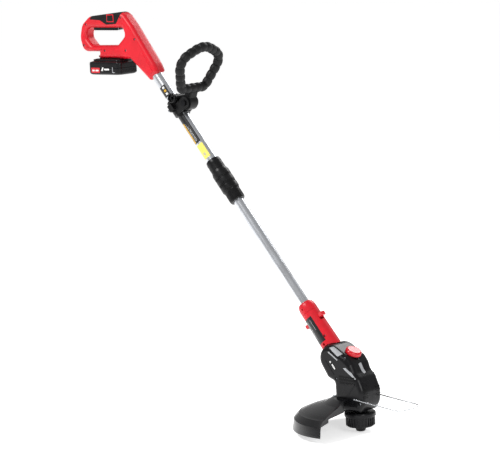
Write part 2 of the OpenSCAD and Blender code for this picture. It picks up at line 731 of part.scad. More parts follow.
// Stepped wall that closes each end of the guard, [radius, height]
end_wall = [[60, guard_top - 1.8], [60, 56], [guard_r * 0.74, 50.5], [guard_r * 0.74, 43],
    [guard_r - 8, 36.5], [guard_r - 8, guard_low + 1], [guard_r - 1.2, guard_low + 1],
    [guard_r - 5, 39], [guard_r * 0.92, 46.6], [guard_r * 0.74, 60.7],
    [guard_r * 0.52 - 0.3, 71.1], [63.7, guard_top - 1.9]];
guard_section = [[42, guard_top], [64, guard_top - 0.6], [guard_r * 0.52, 72.4], [guard_r * 0.74, 62],
    [guard_r * 0.92, 48], [guard_r - 4, 40], [guard_r, guard_low]];
module guard_profile() polygon(concat(guard_section,
    [for (i = [len(guard_section) - 1:-1:0]) guard_section[i] +
        guard_wall * (i == 6 ? [-1, 0] : i == 5 ? [-1, -0.5] : [-0.2, -1])]));
module guard() color(black) difference() {
    union() {
        rotate([0, 0, 180 - guard_left]) rotate_extrude(angle = guard_left + guard_right)
            guard_profile();
        for (end = [end_wall_in - guard_left, guard_right - end_wall_in])
            rotate([0, 0, 180 + end]) rotate([90, 0, 0])
                linear_extrude(guard_wall, center = true) polygon(end_wall);
    }
    pillow(head_outline, head_w + 2 * fit, head_edge, -fit);
    for (p = guard_screw_at) translate([p.x, p.y, 0]) cylinder(r = 2 + fit, h = 100);
}
guard_screw_at = [for (a = [150, 210]) 60 * [cos(a), sin(a)]];
module guard_screws() color(steel) for (p = guard_screw_at)
    translate([p.x, p.y, guard_top - 16]) {
        cylinder(r = 2, h = 17);
        translate([0, 0, 16]) cylinder(r = 3.8, h = 2.4);
    }
module line_cutter() color(steel) rotate([0, 0, 180 + guard_right - end_wall_in])
    block([guard_r - 13, guard_r - 5], [-13, -guard_wall / 2], [guard_low + 3, guard_low + 4.4]);

module pedal() color(red) in_pedal() {
    rotate_extrude() polygon([[0, -3], [pedal_d / 2 - 1, -3], [pedal_d / 2, -2],
        [pedal_d / 2, 4], [pedal_d / 2 - 1.5, 6.5], [pedal_d / 2 - 5, 8], [0, 9]]);
    translate([0, 0, -14]) cylinder(r = 7, h = 13);
}
module pedal_spring() color(steel) in_pedal() translate([0, 0, -24]) ring(6.5, 5.6, 4.6);

// Bent wire: pins in the head's sides, two arms, and a bowed front
wire_y = head_w / 2 + 0.6 + wire_d / 2;
wire_path = [[0, -wire_y + 6, 0], [0, -wire_y, 3.5], [wire_reach - 9, -wire_y, 14],
    [wire_reach, 0, 120], [wire_reach - 9, wire_y, 14], [0, wire_y, 3.5],
    [0, wire_y - 6, 0]];
module wire_guard() color(steel) translate([wire_hinge.x, 0, wire_hinge.y])
    rotate([0, wire_drop, 0]) {
        sweep(open_path(wire_path), wire_d / 2 * 0.97, 12, false);
        for (side = [-1, 1]) across([0, 0], wire_d / 2, 7, side * (wire_y - 8.5));
    }

// --- spool, about the Z axis ---

spool_top = 48;
cap_low = 12;
cap_r = spool_d / 2 - 2.6;
shaft_r = 2.5;
module motor_shaft() color(steel) translate([0, 0, 30]) cylinder(r = shaft_r, h = 48);

module spool_housing() color(black) difference() {
    union() {
        translate([0, 0, 44]) cylinder(r1 = spool_d / 2, r2 = spool_d / 2 - 1, h = 4);
        translate([0, 0, 37]) ring(spool_d / 2, spool_d / 2 - 3, 8);
        translate([0, 0, 30]) cylinder(r = 6, h = 16);
    }
    translate([0, 0, 29]) cylinder(r = shaft_r + fit, h = 30);
}
rib_count = 28;
module spool_cap() color(black) difference() {
    union() {
        translate([0, 0, cap_low]) cylinder(r1 = cap_r - 4, r2 = cap_r - 1.5, h = 24.6);
        for (i = [0:rib_count - 1]) rotate([0, 0, i * 360 / rib_count])
            translate([0, 0, cap_low + 2]) rotate([90, 0, 0]) linear_extrude(2.6, center = true)
                polygon([[cap_r - 5, 0], [cap_r - 3, 0], [cap_r, 22], [cap_r - 4, 22]]);
    }
    translate([0, 0, cap_low + 2.6]) cylinder(r1 = cap_r - 8, r2 = cap_r - 6, h = 30);
    translate([0, 0, cap_low - 1]) cylinder(r = knob_d / 2 + gap, h = 10);
    for (a = [0, 180]) rotate([0, 0, a]) translate([0, 0, 29]) rotate([0, 90, 0])
        cylinder(r = 3, h = 60);
}
reel_r = cap_r - 9.2;
reel_low = 23.4;
module spool_reel() color(red) translate([0, 0, reel_low]) difference() {
    union() {
        ring(10, 7, 12);
        ring(reel_r, 7, 1.4);
        translate([0, 0, 10.6]) ring(reel_r, 7, 1.4);
    }
}
module cutting_line() color("seagreen") translate([0, 0, reel_low + 1.5])
    ring(reel_r - 2, 10 + fit, 9);
module line_eyelets() color(alu) for (a = [0, 180]) rotate([0, 0, a])
    translate([cap_r - 8, 0, 29]) rotate([0, 90, 0]) ring(3 - fit, line_d / 2 + 0.3, 8);
module bump_spring() color(steel) translate([0, 0, 25]) ring(5.8, 4.9, 4.8);

knob_h = cap_low + 2.6;
module bump_knob() color(black) {
    rotate_extrude() polygon([[0, 0], [knob_d / 2 - 5.5, 0], [knob_d / 2 - 3, 1.5],
        [knob_d / 2 - 1.5, 6], [knob_d / 2, 9], [knob_d / 2, knob_h + gap], [0, knob_h + gap]]);
    translate([0, 0, knob_h + gap]) cylinder(r = knob_d / 2 + 2, h = 2);
    translate([0, 0, knob_h + gap]) cylinder(r = 5, h = 6);
}

handle_right();
handle_left();
grip_insert();
handle_screws();
trigger_pin();
power_switch();
terminal_block();
upper_tube();
lead_coil();
collar_sleeve();
tube_wedge();
lock_bezel();
trigger();
trigger_spring();
lock_off_button();
battery_cover();
battery_tray();
battery_cells();
battery_latch();
clamp_front();
clamp_back();
clamp_screws();
loop_bolt();
loop_nut();
loop_handle();
loop_knob();
collar_nut();
lower_tube();
lower_lead();
neck_cap();
neck_right();
neck_left();
neck_screws();
release_ring();
release_spring();
head_right();
head_left();
head_screws();
pivot_pin();
motor();
motor_mount();
guard();
guard_screws();
line_cutter();
pedal();
pedal_spring();
wire_guard();
motor_shaft();
spool_housing();
spool_cap();
spool_reel();
cutting_line();
line_eyelets();
bump_spring();
bump_knob();
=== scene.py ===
# %% [markdown]
# # A cordless string trimmer, piece by piece
# The frame is the CAD model of the trimmer: every piece in its place, in metres, with its joints. Blender adds
# what the CAD leaves out: soft edges, ribs, screw crosses, finger bumps, labels and surface finish. Places are
# read from the frame's joints and boxes, so the looks follow the CAD if it is packed again.

# %% Load the frame
import bpy
import bmesh
import json
import math
from mathutils import Matrix, Vector
from mathutils.geometry import tessellate_polygon


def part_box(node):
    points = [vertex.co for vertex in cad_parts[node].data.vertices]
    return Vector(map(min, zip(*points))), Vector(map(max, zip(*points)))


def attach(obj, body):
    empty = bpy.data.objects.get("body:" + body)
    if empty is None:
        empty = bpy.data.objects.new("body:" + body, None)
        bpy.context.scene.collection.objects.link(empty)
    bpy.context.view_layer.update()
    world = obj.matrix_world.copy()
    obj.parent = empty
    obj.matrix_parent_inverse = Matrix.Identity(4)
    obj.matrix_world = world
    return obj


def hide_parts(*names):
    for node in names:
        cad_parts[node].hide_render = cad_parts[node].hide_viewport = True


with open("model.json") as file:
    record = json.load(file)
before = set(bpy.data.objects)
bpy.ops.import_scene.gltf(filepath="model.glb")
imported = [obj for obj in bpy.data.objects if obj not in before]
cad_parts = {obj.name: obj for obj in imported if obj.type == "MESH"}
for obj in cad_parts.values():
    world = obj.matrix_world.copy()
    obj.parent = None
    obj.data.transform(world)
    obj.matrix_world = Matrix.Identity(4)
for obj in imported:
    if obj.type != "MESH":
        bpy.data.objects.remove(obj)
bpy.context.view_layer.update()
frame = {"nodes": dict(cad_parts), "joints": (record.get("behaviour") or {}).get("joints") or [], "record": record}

# %% [markdown]
# ## Three local frames
# The parts of the trimmer lie along a leaning shaft, or level in the rear grip, or upright under the head. Each
# of those is a matrix that takes millimetres in its own directions to metres in the model. The shaft's lean, the
# tilt pivot and the other centres all come from the record's joints.

# %% Local frames
MM = 0.001
joint = {j["name"]: j for j in frame["joints"]}


def centre(name):
    return Vector(joint[name]["pos_m"])


up = Vector(joint["collar_twist"]["axis"])
up = up if up.z > 0 else -up
lean = math.atan2(-up.x, up.z)
pivot = centre("head_tilt")
seam_at = (centre("neck_turn") - pivot).length / MM
upright = Matrix.Scale(MM, 4)


def shaft(height):
    """Frame on the shaft: Z up the shaft, X ahead across it; height is in mm above the tilt pivot."""
    turn = Matrix.Rotation(-lean, 4, "Y")
    return Matrix.Translation(pivot + up * height * MM) @ turn @ Matrix.Scale(MM, 4)


def height_of(node):
    """Lowest and highest station of a CAD node along the shaft, in mm above the pivot."""
    at = [(v.co - pivot).dot(up) / MM for v in frame["nodes"][node].data.vertices]
    return min(at), max(at)


# The level frame's origin, as seen from the trigger's hinge
trigger_at = Vector((-0.076, 0, 0.079))
level = Matrix.Translation(centre("trigger_pull") - trigger_at) @ Matrix.Scale(MM, 4)
print("lean", round(math.degrees(lean), 2), "seam at", round(seam_at, 1), "mm")

# %% [markdown]
# ## Rounded outlines
# Moulded shells look soft because every long edge is a radius, not a corner. A shell here starts as a list of
# corners, each with its own radius, in the plane of the shell's side. Rounding the corners and moving the
# outline inwards in small steps towards the side gives a true rounded edge, smoother than a bevel on a sharp box.

# %% Outlines
def rounded(corners, steps=7):
    """Corners [x, z, radius] -> points of the outline, with an arc at each corner."""
    points = []
    for i, (x, z, radius) in enumerate(corners):
        here = Vector((x, z))
        a = Vector(corners[i - 1][:2]) - here
        c = Vector(corners[(i + 1) % len(corners)][:2]) - here
        u, v = a.normalized(), c.normalized()
        half = math.acos(max(-1, min(1, u.dot(v)))) / 2
        reach = min(radius / math.tan(half), 0.48 * min(a.length, c.length))
        r = reach * math.tan(half)
        middle = here + (u + v).normalized() * (r / math.sin(half))
        first, last = here + u * reach - middle, here + v * reach - middle
        start = math.atan2(first.y, first.x)
        sweep = (math.atan2(last.y, last.x) - start + 3 * math.pi) % (2 * math.pi) - math.pi
        points += [middle + r * Vector((math.cos(start + sweep * k / steps),
                                        math.sin(start + sweep * k / steps))) for k in range(steps + 1)]
    return points


def inset(corners, d):
    """The same corners moved inwards by d, arcs kept concentric."""
    moved = []
    for i, (x, z, radius) in enumerate(corners):
        here = Vector((x, z))
        u = (here - Vector(corners[i - 1][:2])).normalized()
        v = (Vector(corners[(i + 1) % len(corners)][:2]) - here).normalized()
        nu, nv = Vector((-u.y, u.x)), Vector((-v.y, v.x))
        m = (nu + nv).normalized()
        q = here + m * (d / m.dot(nu))
        moved.append([q.x, q.y, max(0.6, radius - (1 if u.cross(v) > 0 else -1) * d)])
    return moved


# %% Solids from outlines
def edge_steps(low, high, low_r, high_r, steps=6):
    """Pairs (inset, y) across a slab whose two long edges have radii low_r and high_r."""
    turns = [math.radians(90 * k / steps) for k in range(steps + 1)]
    start, end = [(0, low)], [(0, high)]
    if low_r:
        start = [(low_r * (1 - math.sin(a)), low + low_r * (1 - math.cos(a))) for a in turns]
    if high_r:
        end = [(high_r * (1 - math.cos(a)), high - high_r * (1 - math.sin(a))) for a in turns]
    return start + end


def slab(corners, profile, holes=(), steps=7):
    """Closed solid: an outline in XZ pushed across Y through the pairs (inset, y) of its profile."""
    bm = bmesh.new()
    walls = []
    for shape, sign in [(corners, 1)] + [(h, -1) for h in holes]:
        loops = [[bm.verts.new((p.x, y, p.y)) for p in rounded(inset(shape, sign * d), steps)] for d, y in profile]
        for a, b in zip(loops, loops[1:]):
            for i in range(len(a)):
                bm.faces.new((a[i - 1], a[i], b[i], b[i - 1]))
        walls.append((loops[0], loops[-1]))
    for side in (0, 1):
        rings = [w[side] for w in walls]
        flat = [v for ring in rings for v in ring]
        for t in tessellate_polygon([[Vector((v.co.x, v.co.z, 0)) for v in ring] for ring in rings]):
            bm.faces.new([flat[k] for k in t])
    bmesh.ops.recalc_face_normals(bm, faces=bm.faces)
    return bm


def lathe(profile, steps=96, span=360, start=0, closed=False):
    """Solid of revolution about Z from pairs (radius, z), whole or a part turn."""
    bm = bmesh.new()
    whole = span == 360
    columns = []
    for k in range(steps if whole else steps + 1):
        a = math.radians(start + span * k / steps)
        columns.append([bm.verts.new((r * math.cos(a), r * math.sin(a), z)) for r, z in profile])
    n = len(profile)
    for a, b in zip(columns, columns[1:] + (columns[:1] if whole else [])):
        for i in range(n if closed else n - 1):
            bm.faces.new((a[i], b[i], b[(i + 1) % n], a[(i + 1) % n]))
    if not whole:
        bm.faces.new(columns[0])
        bm.faces.new(columns[-1])
    bmesh.ops.remove_doubles(bm, verts=bm.verts, dist=1e-4)
    bmesh.ops.recalc_face_normals(bm, faces=bm.faces)
    return bm


def box(x, y, z):
    """Plain block, used only as a cutter."""
    bm = bmesh.new()
    size = Matrix.Diagonal((x[1] - x[0], y[1] - y[0], z[1] - z[0], 1))
    bmesh.ops.create_cube(bm, size=1, matrix=Matrix.Translation(((x[0] + x[1]) / 2, (y[0] + y[1]) / 2,
                                                                 (z[0] + z[1]) / 2)) @ size)
    return bm


def pin(x, z, r, y0, y1, steps=32):
    """Round bar across Y."""
    bm = lathe([(0, y0), (r, y0), (r, y1), (0, y1)], steps)
    bm.transform(Matrix.Translation((x, 0, z)) @ Matrix.Rotation(math.radians(-90), 4, "X"))
    return bm


def rod(path, radius, sides=16, closed=False):
    """Round rod along points; radius is a number or a function of the share of the way and the angle."""
    bm = bmesh.new()
    n = len(path)
    rings = []
    side = None
    for i, p in enumerate(path):
        ahead = path[(i + 1) % n] if closed or i < n - 1 else p
        back = path[i - 1] if closed or i > 0 else p
        t = (Vector(ahead) - Vector(back)).normalized()
        if side is None:
            side = t.orthogonal().normalized()
            if closed:
                side = Vector((1, 0, 0))
        side = (side - t * side.dot(t)).normalized()
        other = t.cross(side)
        ring = []
        for k in range(sides):
            a = 2 * math.pi * k / sides
            r = radius(i / n, a) if callable(radius) else radius
            ring.append(bm.verts.new(Vector(p) + side * r * math.cos(a) + other * r * math.sin(a)))
        rings.append(ring)
    for a, b in zip(rings, rings[1:] + (rings[:1] if closed else [])):
        for k in range(sides):
            bm.faces.new((a[k - 1], a[k], b[k], b[k - 1]))
    if not closed:
        bm.faces.new(rings[0])
        bm.faces.new(rings[-1])
    bmesh.ops.recalc_face_normals(bm, faces=bm.faces)
    return bm


# %% [markdown]
# ## Cutting and finishing pieces
# Screw wells, slots and pockets are cut with the Boolean modifier, as a mould maker's inserts would leave them.
# A finished piece is a mesh placed in the model, with a small bevel on its sharp edges so that they catch the
# light, and weighted normals so that flat faces stay flat next to their rounded edges.

# %% Cutters and finished pieces
def loose(bm, name="cutter"):
    mesh = bpy.data.meshes.new(name)
    bm.to_mesh(mesh)
    bm.free()
    thing = bpy.data.objects.new(name, mesh)
    bpy.context.scene.collection.objects.link(thing)
    return thing


def evaluated(thing):
    """Plain mesh of an object with its modifiers applied; the object is removed."""
    graph = bpy.context.evaluated_depsgraph_get()
    graph.update()
    mesh = bpy.data.meshes.new_from_object(thing.evaluated_get(graph))
    bpy.data.objects.remove(thing)
    return mesh


def carve(bm, *cutters, how="DIFFERENCE"):
    """The solid less each cutter, or what it shares with them."""
    body = loose(bm, "body")
    tools = [loose(c) for c in cutters]
    for tool in tools:
        cut = body.modifiers.new("cut", "BOOLEAN")
        cut.operation, cut.object, cut.solver = how, tool, "EXACT"
    mesh = evaluated(body)
    for tool in tools:
        bpy.data.objects.remove(tool)
    out = bmesh.new()
    out.from_mesh(mesh)
    bmesh.ops.remove_doubles(out, verts=out.verts, dist=0.002)
    return out


def piece(name, shape, where, body, finish, stands_for=(), bevel=0.0, sharp=40):
    """Places a bmesh or mesh, softens its edges by bevel (mm), gives it its finish and hands it to its body."""
    mesh = shape
    if isinstance(shape, bmesh.types.BMesh):
        mesh = bpy.data.meshes.new(name)
        if bevel:
            bmesh.ops.dissolve_limit(shape, angle_limit=math.radians(0.8), verts=shape.verts, edges=shape.edges)
        shape.to_mesh(mesh)
        shape.free()
    mesh.name = name
    mesh.transform(where)
    thing = bpy.data.objects.new(name, mesh)
    bpy.context.scene.collection.objects.link(thing)
    if bevel:
        soft = thing.modifiers.new("soft edges", "BEVEL")
        soft.width, soft.segments, soft.limit_method = bevel * MM, 2, "ANGLE"
        soft.angle_limit = math.radians(sharp - 6)
        soft.use_clamp_overlap, soft.harden_normals = True, False
        mesh = evaluated(thing)
        mesh.name = name
        thing = bpy.data.objects.new(name, mesh)
        bpy.context.scene.collection.objects.link(thing)
    mesh.shade_smooth()
    mesh.set_sharp_from_angle(angle=math.radians(sharp))
    flat = thing.modifiers.new("flat faces stay flat", "WEIGHTED_NORMAL")
    flat.keep_sharp = True
    mesh = evaluated(thing)
    mesh.name = name
    thing = bpy.data.objects.new(name, mesh)
    bpy.context.scene.collection.objects.link(thing)
    if finish:
        mesh.materials.clear()
        mesh.materials.append(finish)
    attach(thing, body)
    if stands_for:
        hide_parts(*stands_for)
    print(name, len(mesh.polygons), "faces")
    return thing


body_of = {n: b for b, names in frame["record"]["behaviour"]["bodies"].items() for n in names}


def softened(node, finish, bevel=0.5, sharp=32):
    """A CAD node whose shape is right, with its edges softened."""
    bm = bmesh.new()
    bm.from_mesh(frame["nodes"][node].data)
    bm.transform(Matrix.Scale(1 / MM, 4))
    bmesh.ops.remove_doubles(bm, verts=bm.verts, dist=0.01)
    return piece(node + "_shape", bm, upright, body_of[node], finish, [node], bevel, sharp)


# %% [markdown]
# ## Finishes
# Plastics differ by how their mould was finished: spark erosion leaves a fine pebbled surface, polishing leaves a
# satin one. Each finish below starts from its real material, with its usual gloss, and adds two scales of
# unevenness: a grain of a few tenths of a millimetre in the bump, and slow changes of gloss and colour over
# centimetres, as handling and moulding leave them.

# %% Colours and node helper
def linear(code):
    """An sRGB hex colour as linear RGBA."""
    parts = [int(code[i:i + 2], 16) / 255 for i in (0, 2, 4)]
    return [c / 12.92 if c < 0.04045 else ((c + 0.055) / 1.055) ** 2.4 for c in parts] + [1]


def add(tree, kind, inputs=None, **settings):
    """Adds one node; inputs takes values, or sockets to link from."""
    node = tree.nodes.new(kind)
    for key, value in settings.items():
        setattr(node, key, value)
    for key, value in (inputs or {}).items():
        if isinstance(value, bpy.types.NodeSocket):
            tree.links.new(value, node.inputs[key])
        else:
            node.inputs[key].default_value = value
    return node


def finish_of(name, colour, second, rough, metal=0.0, grain=0.5, bump=0.05, spread=0.06, stretch=(1, 1, 1),
              turn=0.0, coat=0.0, specular=0.5, coarse=30.0):
    """Finish with a grain in mm, slow patches coarse mm across, and rough +- spread; stretch pulls the grain."""
    made = bpy.data.materials.new(name)
    made.use_nodes = True
    tree = made.node_tree
    tree.nodes.clear()
    place = add(tree, "ShaderNodeTexCoord")
    turned = add(tree, "ShaderNodeMapping", {"Vector": place.outputs["Object"], "Rotation": (0, turn, 0)})
    pulled = add(tree, "ShaderNodeMapping", {"Vector": turned.outputs[0], "Scale": stretch})
    fine = add(tree, "ShaderNodeTexNoise", {"Vector": pulled.outputs[0], "Scale": 1000 / grain, "Detail": 2.0})
    slow = add(tree, "ShaderNodeTexNoise", {"Vector": turned.outputs[0], "Scale": 1000 / coarse, "Detail": 4.0})
    gloss = add(tree, "ShaderNodeMapRange", {"Value": slow.outputs[0], 1: 0.3, 2: 0.7, 3: rough - spread,
                                             4: rough + spread})
    mixing = add(tree, "ShaderNodeMix", data_type="RGBA")
    share = add(tree, "ShaderNodeMapRange", {"Value": slow.outputs[0], 1: 0.35, 2: 0.65})
    tree.links.new(share.outputs[0], mixing.inputs[0])
    mixing.inputs[6].default_value = linear(colour)
    mixing.inputs[7].default_value = linear(second)
    raised = add(tree, "ShaderNodeBump", {"Height": fine.outputs[0], "Strength": bump, "Distance": 0.0003})
    shader = add(tree, "ShaderNodeBsdfPrincipled", {"Base Color": mixing.outputs[2], "Metallic": metal,
                                                    "Roughness": gloss.outputs[0], "Normal": raised.outputs[0]})
    if coat:
        shader.inputs["Coat Weight"].default_value = coat
        shader.inputs["Coat Roughness"].default_value = 0.15
    if not metal:
        shader.inputs["Specular IOR Level"].default_value = specular
    add(tree, "ShaderNodeOutputMaterial", {"Surface": shader.outputs[0]})
    return made


# %% The finishes
# ABS moulded in a spark-eroded tool: an even red with a soft satin sheen; grain drawn at 0.6 mm so that it shows
red_abs = finish_of("red_abs_spark_eroded", "CF1023", "C20D1F", 0.36, grain=0.6, bump=0.05, specular=0.4)
# ABS from a polished tool: the round button is a little glossier
red_gloss = finish_of("red_abs_polished", "CE1424", "C41020", 0.24, grain=1.2, bump=0.03)
# Black ABS, satin, the motor housing and battery: reads as near black with grey sheen on the curves
black_abs = finish_of("black_abs_satin", "0C0C0E", "111113", 0.28, grain=0.7, bump=0.04, specular=0.22)
# Glass-filled nylon: the collar and clamp, duller and slightly greyer, from the fibres at the skin
black_nylon = finish_of("black_nylon_glass_filled", "0D0D0E", "131314", 0.34, grain=0.9, bump=0.10, specular=0.22)
# Polypropylene guard: waxy sheen with flow unevenness over several centimetres
black_pp = finish_of("black_polypropylene_moulded", "0E0E10", "151517", 0.22, grain=1.0, bump=0.03, specular=0.36,
                     coarse=60.0)
# Thermoplastic rubber over the grip and loop: matt, pebbled
soft_tpe = finish_of("black_rubber_pebbled", "0B0B0C", "111112", 0.50, grain=0.9, bump=0.25, specular=0.22)
# Aluminium tube, drawn and clear anodised: fine lines along the tube stretch its highlights
alu = finish_of("aluminium_drawn_anodised", "D6D8DC", "CCCFD4", 0.30, metal=1.0, grain=0.35, bump=0.04,
                spread=0.05, stretch=(1, 1, 0.02), turn=lean, coarse=45.0)
# Zinc-plated steel: screws, bolts and springs
zinc = finish_of("steel_zinc_plated", "B9BCC0", "A4A8AD", 0.32, metal=1.0, grain=0.4, bump=0.05)
# Black-oxide steel: the bolt and nut through the loop's hub
black_oxide = finish_of("steel_black_oxide", "2A2A2C", "222224", 0.38, metal=1.0, grain=0.4, bump=0.05)
# Spring steel wire, nickel plated: brighter and smoother than the screws
bright_wire = finish_of("steel_wire_nickel_plated", "D5D7DA", "C4C7CB", 0.20, metal=1.0, grain=0.5, bump=0.02)
# Screen-printed light grey on the black housing: flat, slightly rough ink
grey_ink = finish_of("grey_screen_print", "A3A5A8", "999B9E", 0.50, grain=0.3, bump=0.05)
# Laminated vinyl labels: smooth film with a weak gloss
black_film = finish_of("black_vinyl_label", "121214", "19191B", 0.33, grain=2.0, bump=0.02)
yellow_film = finish_of("yellow_vinyl_label", "E9DE6E", "E3D75F", 0.38, grain=2.0, bump=0.02)
gold_film = finish_of("amber_vinyl_mark", "D8A92A", "CE9E22", 0.38, grain=2.0, bump=0.02)
white_ink = finish_of("white_screen_print", "E4E4E2", "D8D8D6", 0.45, grain=0.5, bump=0.03)
red_ink = finish_of("red_vinyl_patch", "C8202C", "BD1A27", 0.38, grain=1.5, bump=0.02)
# Bare inner parts
cable = finish_of("black_pvc_cable", "141414", "1B1B1B", 0.5, grain=0.8, bump=0.1)
wrap = finish_of("blue_pvc_cell_wrap", "2F6DA8", "28619A", 0.3, grain=1.5, bump=0.03)
nylon = finish_of("green_nylon_line", "4FA36A", "46955F", 0.32, grain=1.6, bump=0.1)
# Painted shade: a near-black film for the head's cooling slots, in place of the shade inside slots that are not cut
# open
painted_slot_shade = finish_of("painted_shade_in_slots", "050506", "070708", 0.6, grain=1.0, bump=0.05, specular=0.2)
print(len(bpy.data.materials), "materials")

# %% [markdown]
# ## The CAD nodes that stay
# Everything hidden inside the shells keeps its CAD mesh, and gets the finish of its real material.

# %% Finishes for the inner nodes
inner = {"power_switch": black_abs, "terminal_block": black_nylon, "lead_coil": cable, "lower_lead": cable,
         "tube_wedge": black_nylon, "trigger_pin": zinc, "pivot_pin": zinc, "motor": zinc, "motor_shaft": zinc,
         "motor_mount": black_nylon, "battery_cells": wrap, "cutting_line": nylon, "spool_reel": red_abs,
         "line_eyelets": black_oxide, "line_cutter": zinc, "loop_bolt": black_oxide, "loop_nut": black_oxide}
for n, finish in inner.items():
    mesh = frame["nodes"][n].data
    mesh.materials.clear()
    mesh.materials.append(finish)
print(len(inner), "inner nodes finished")

# %% [markdown]
# ## Rear handle
# Two red clamshell halves, screwed together from the right. Each half is one rounded slab with the hand opening
# as a hole through it. The trigger's slot, the battery's rail and the screw wells are cut afterwards, and a
# hairline gap is left along the middle plane, where the halves meet.

# %% Handle outline
tube_d = 28
boom = 62


def along(s, off):
    """Point at s up the shaft and off ahead of it, in the level frame."""
    return (-s * math.sin(lean) + off * math.cos(lean), s * math.cos(lean) + off * math.sin(lean))


reach = tube_d / 2 + 3.5
grip_outline = [[-201, 11, 20], [-143, 11, 3], [-149, -6, 5], [-38, -6, 8], [*along(-boom, -reach), 4],
                [*along(-boom, reach), 5], [*along(-boom + 20, reach + 5), 60], [-26, 76, 40], [-50, 103, 14],
                [-64, 110.5, 25], [-176, 99.5, 25], [-203, 79, 30], [-212, 45, 40]]
grip_hole = [[-169, 26, 12], [-81, 27, 12], [-52, 52, 12], [-60, 71, 9], [-180, 71, 14], [-192, 50, 18]]
insert_outline = [[-168, 92, 3], [-133, 90, 8], [-112, 79, 8], [-77, 81, 8], [-61, 104, 6], [-61, 140, 1],
                  [-168, 140, 1]]
grip_screws = [[-61, 97], [-184, 80], [-195, 27], [-123, 14], [-50, 15], [-17, 43], [28, -34]]
grip_half_w = 18.5
grip_edge = 10
seam = 0.12      # half of the hairline gap between the halves
under_skin = 0.15      # how far the shells lie under the soft insert's face
screw_seat = -14.5     # y of the screw heads' seats
well_r = 3.2


def lock_pocket():
    return box((-106.3, -86.7), (-30, 0), (87.7, 102.3))


def trigger_slot(low):
    return box((-173, -66), (-8.3, 8.3), (low, 85))


# %% Handle halves
def handle_half(side):
    """One half: side -1 is the right one, which also holds the screws."""
    outside = grip_half_w - under_skin
    ends, edges = ((-outside, -seam), (grip_edge, 0)) if side < 0 else ((seam, outside), (0, grip_edge))
    shell = slab(inset(grip_outline, under_skin), edge_steps(*ends, *edges, 8), [inset(grip_hole, -under_skin)], 9)
    rail_stem, rail_head = box((-400, -76), (-12.3, 12.3), (-8, -3)), box((-400, -76), (-15.3, 15.3), (-3.2, 2))
    cutters = [trigger_slot(60), rail_stem, rail_head, lock_pocket()]
    if side < 0:
        cutters += [pin(x, z, well_r, -25, screw_seat) for x, z in grip_screws]
    return carve(shell, *cutters)


for side, n in ((-1, "handle_right"), (1, "handle_left")):
    piece(n + "_shell", handle_half(side), level, "handle", red_abs, [n], sharp=35)

# %% [markdown]
# The soft insert is moulded over the top of the grip. It takes the handle's own rounded shape, a fraction of a
# millimetre proud, and only where its outline reaches, so a shared volume of the two shapes gives it directly.

# %% Soft insert and thin lines around it
full = edge_steps(-grip_half_w, grip_half_w, grip_edge, grip_edge, 8)
insert = carve(slab(grip_outline, full, [grip_hole], 9), slab(insert_outline, [(0, -30), (0, 30)]), how="INTERSECT")
insert = carve(insert, lock_pocket(), trigger_slot(50))
piece("grip_insert_skin", insert, level, "handle", soft_tpe, ["grip_insert"], sharp=35)

# %% Boom panel
# A long shallow panel stands half a millimetre proud of the boom's right and left sides
panel = [[*along(-54, -9), 3], [*along(-54, 8), 3], [*along(14, 13), 8], [*along(-6, -9), 6]]
for side, n in ((-1, "right"), (1, "left")):
    ends = sorted((side * (grip_half_w - 1.0), side * (grip_half_w + 0.7)))
    edges = (0.8, 0) if side < 0 else (0, 0.8)
    raised = slab(panel, edge_steps(*ends, *edges, 4), steps=5)
    piece("boom_panel_" + n, raised, level, "handle", red_abs)

# %% Lock-off button, its red bezel and the trigger
softened("lock_off_button", black_abs, 0.8)
softened("lock_bezel", red_gloss, 0.3)
softened("trigger", black_abs, 1.2, 30)
grip_marks = slab([[-80, 65.5, 1], [-78.5, 65.5, 1], [-78.5, 75, 1], [-80, 75, 1]], [(0, -8.15), (0, 8.15)])
piece("trigger_step", grip_marks, level, "trigger", grey_ink)

# %% [markdown]
# ## Screws
# Every self-tapping screw is the same: a pan head with a cross recess. The head is turned once and its cross is
# cut with two thin blocks. Geometry Nodes puts one at each seat, each turned by its own angle, because a real
# screw stops wherever it gets tight.

# %% One pan head
def pan_head(r, h):
    head = lathe([(0, 0), (r, 0), (r, h * 0.45), (r * 0.86, h * 0.85), (r * 0.5, h), (0, h)], 28)
    arm = r * 0.62
    return carve(head, box((-arm, arm), (-0.35, 0.35), (h * 0.35, h + 1)),
                 box((-0.35, 0.35), (-arm, arm), (h * 0.35, h + 1)))


# %% Tree that puts a screw at each seat
def new_tree(name, sockets):
    """Geometry tree with named inputs: pairs of name and socket type."""
    tree = bpy.data.node_groups.new(name, "GeometryNodeTree")
    for label, kind in sockets:
        tree.interface.new_socket(label, in_out="INPUT", socket_type=kind)
    tree.interface.new_socket("Geometry", in_out="OUTPUT", socket_type="NodeSocketGeometry")
    return tree, add(tree, "NodeGroupInput").outputs


def finish_tree(tree, geometry, finish):
    real = add(tree, "GeometryNodeRealizeInstances", {0: geometry})
    coloured = add(tree, "GeometryNodeSetMaterial", {"Geometry": real.outputs[0], "Material": finish})
    add(tree, "NodeGroupOutput", {0: coloured.outputs[0]})


def grow(tree, values, start=None):
    """Plain mesh made by a tree with these named values, from a start mesh if it needs one."""
    thing = bpy.data.objects.new("grown", start or bpy.data.meshes.new("grown"))
    bpy.context.scene.collection.objects.link(thing)
    maker = thing.modifiers.new("maker", "NODES")
    maker.node_group = tree
    for item in tree.interface.items_tree:
        if item.in_out == "INPUT" and item.name in values:
            maker[item.identifier] = values[item.name]
    return evaluated(thing)


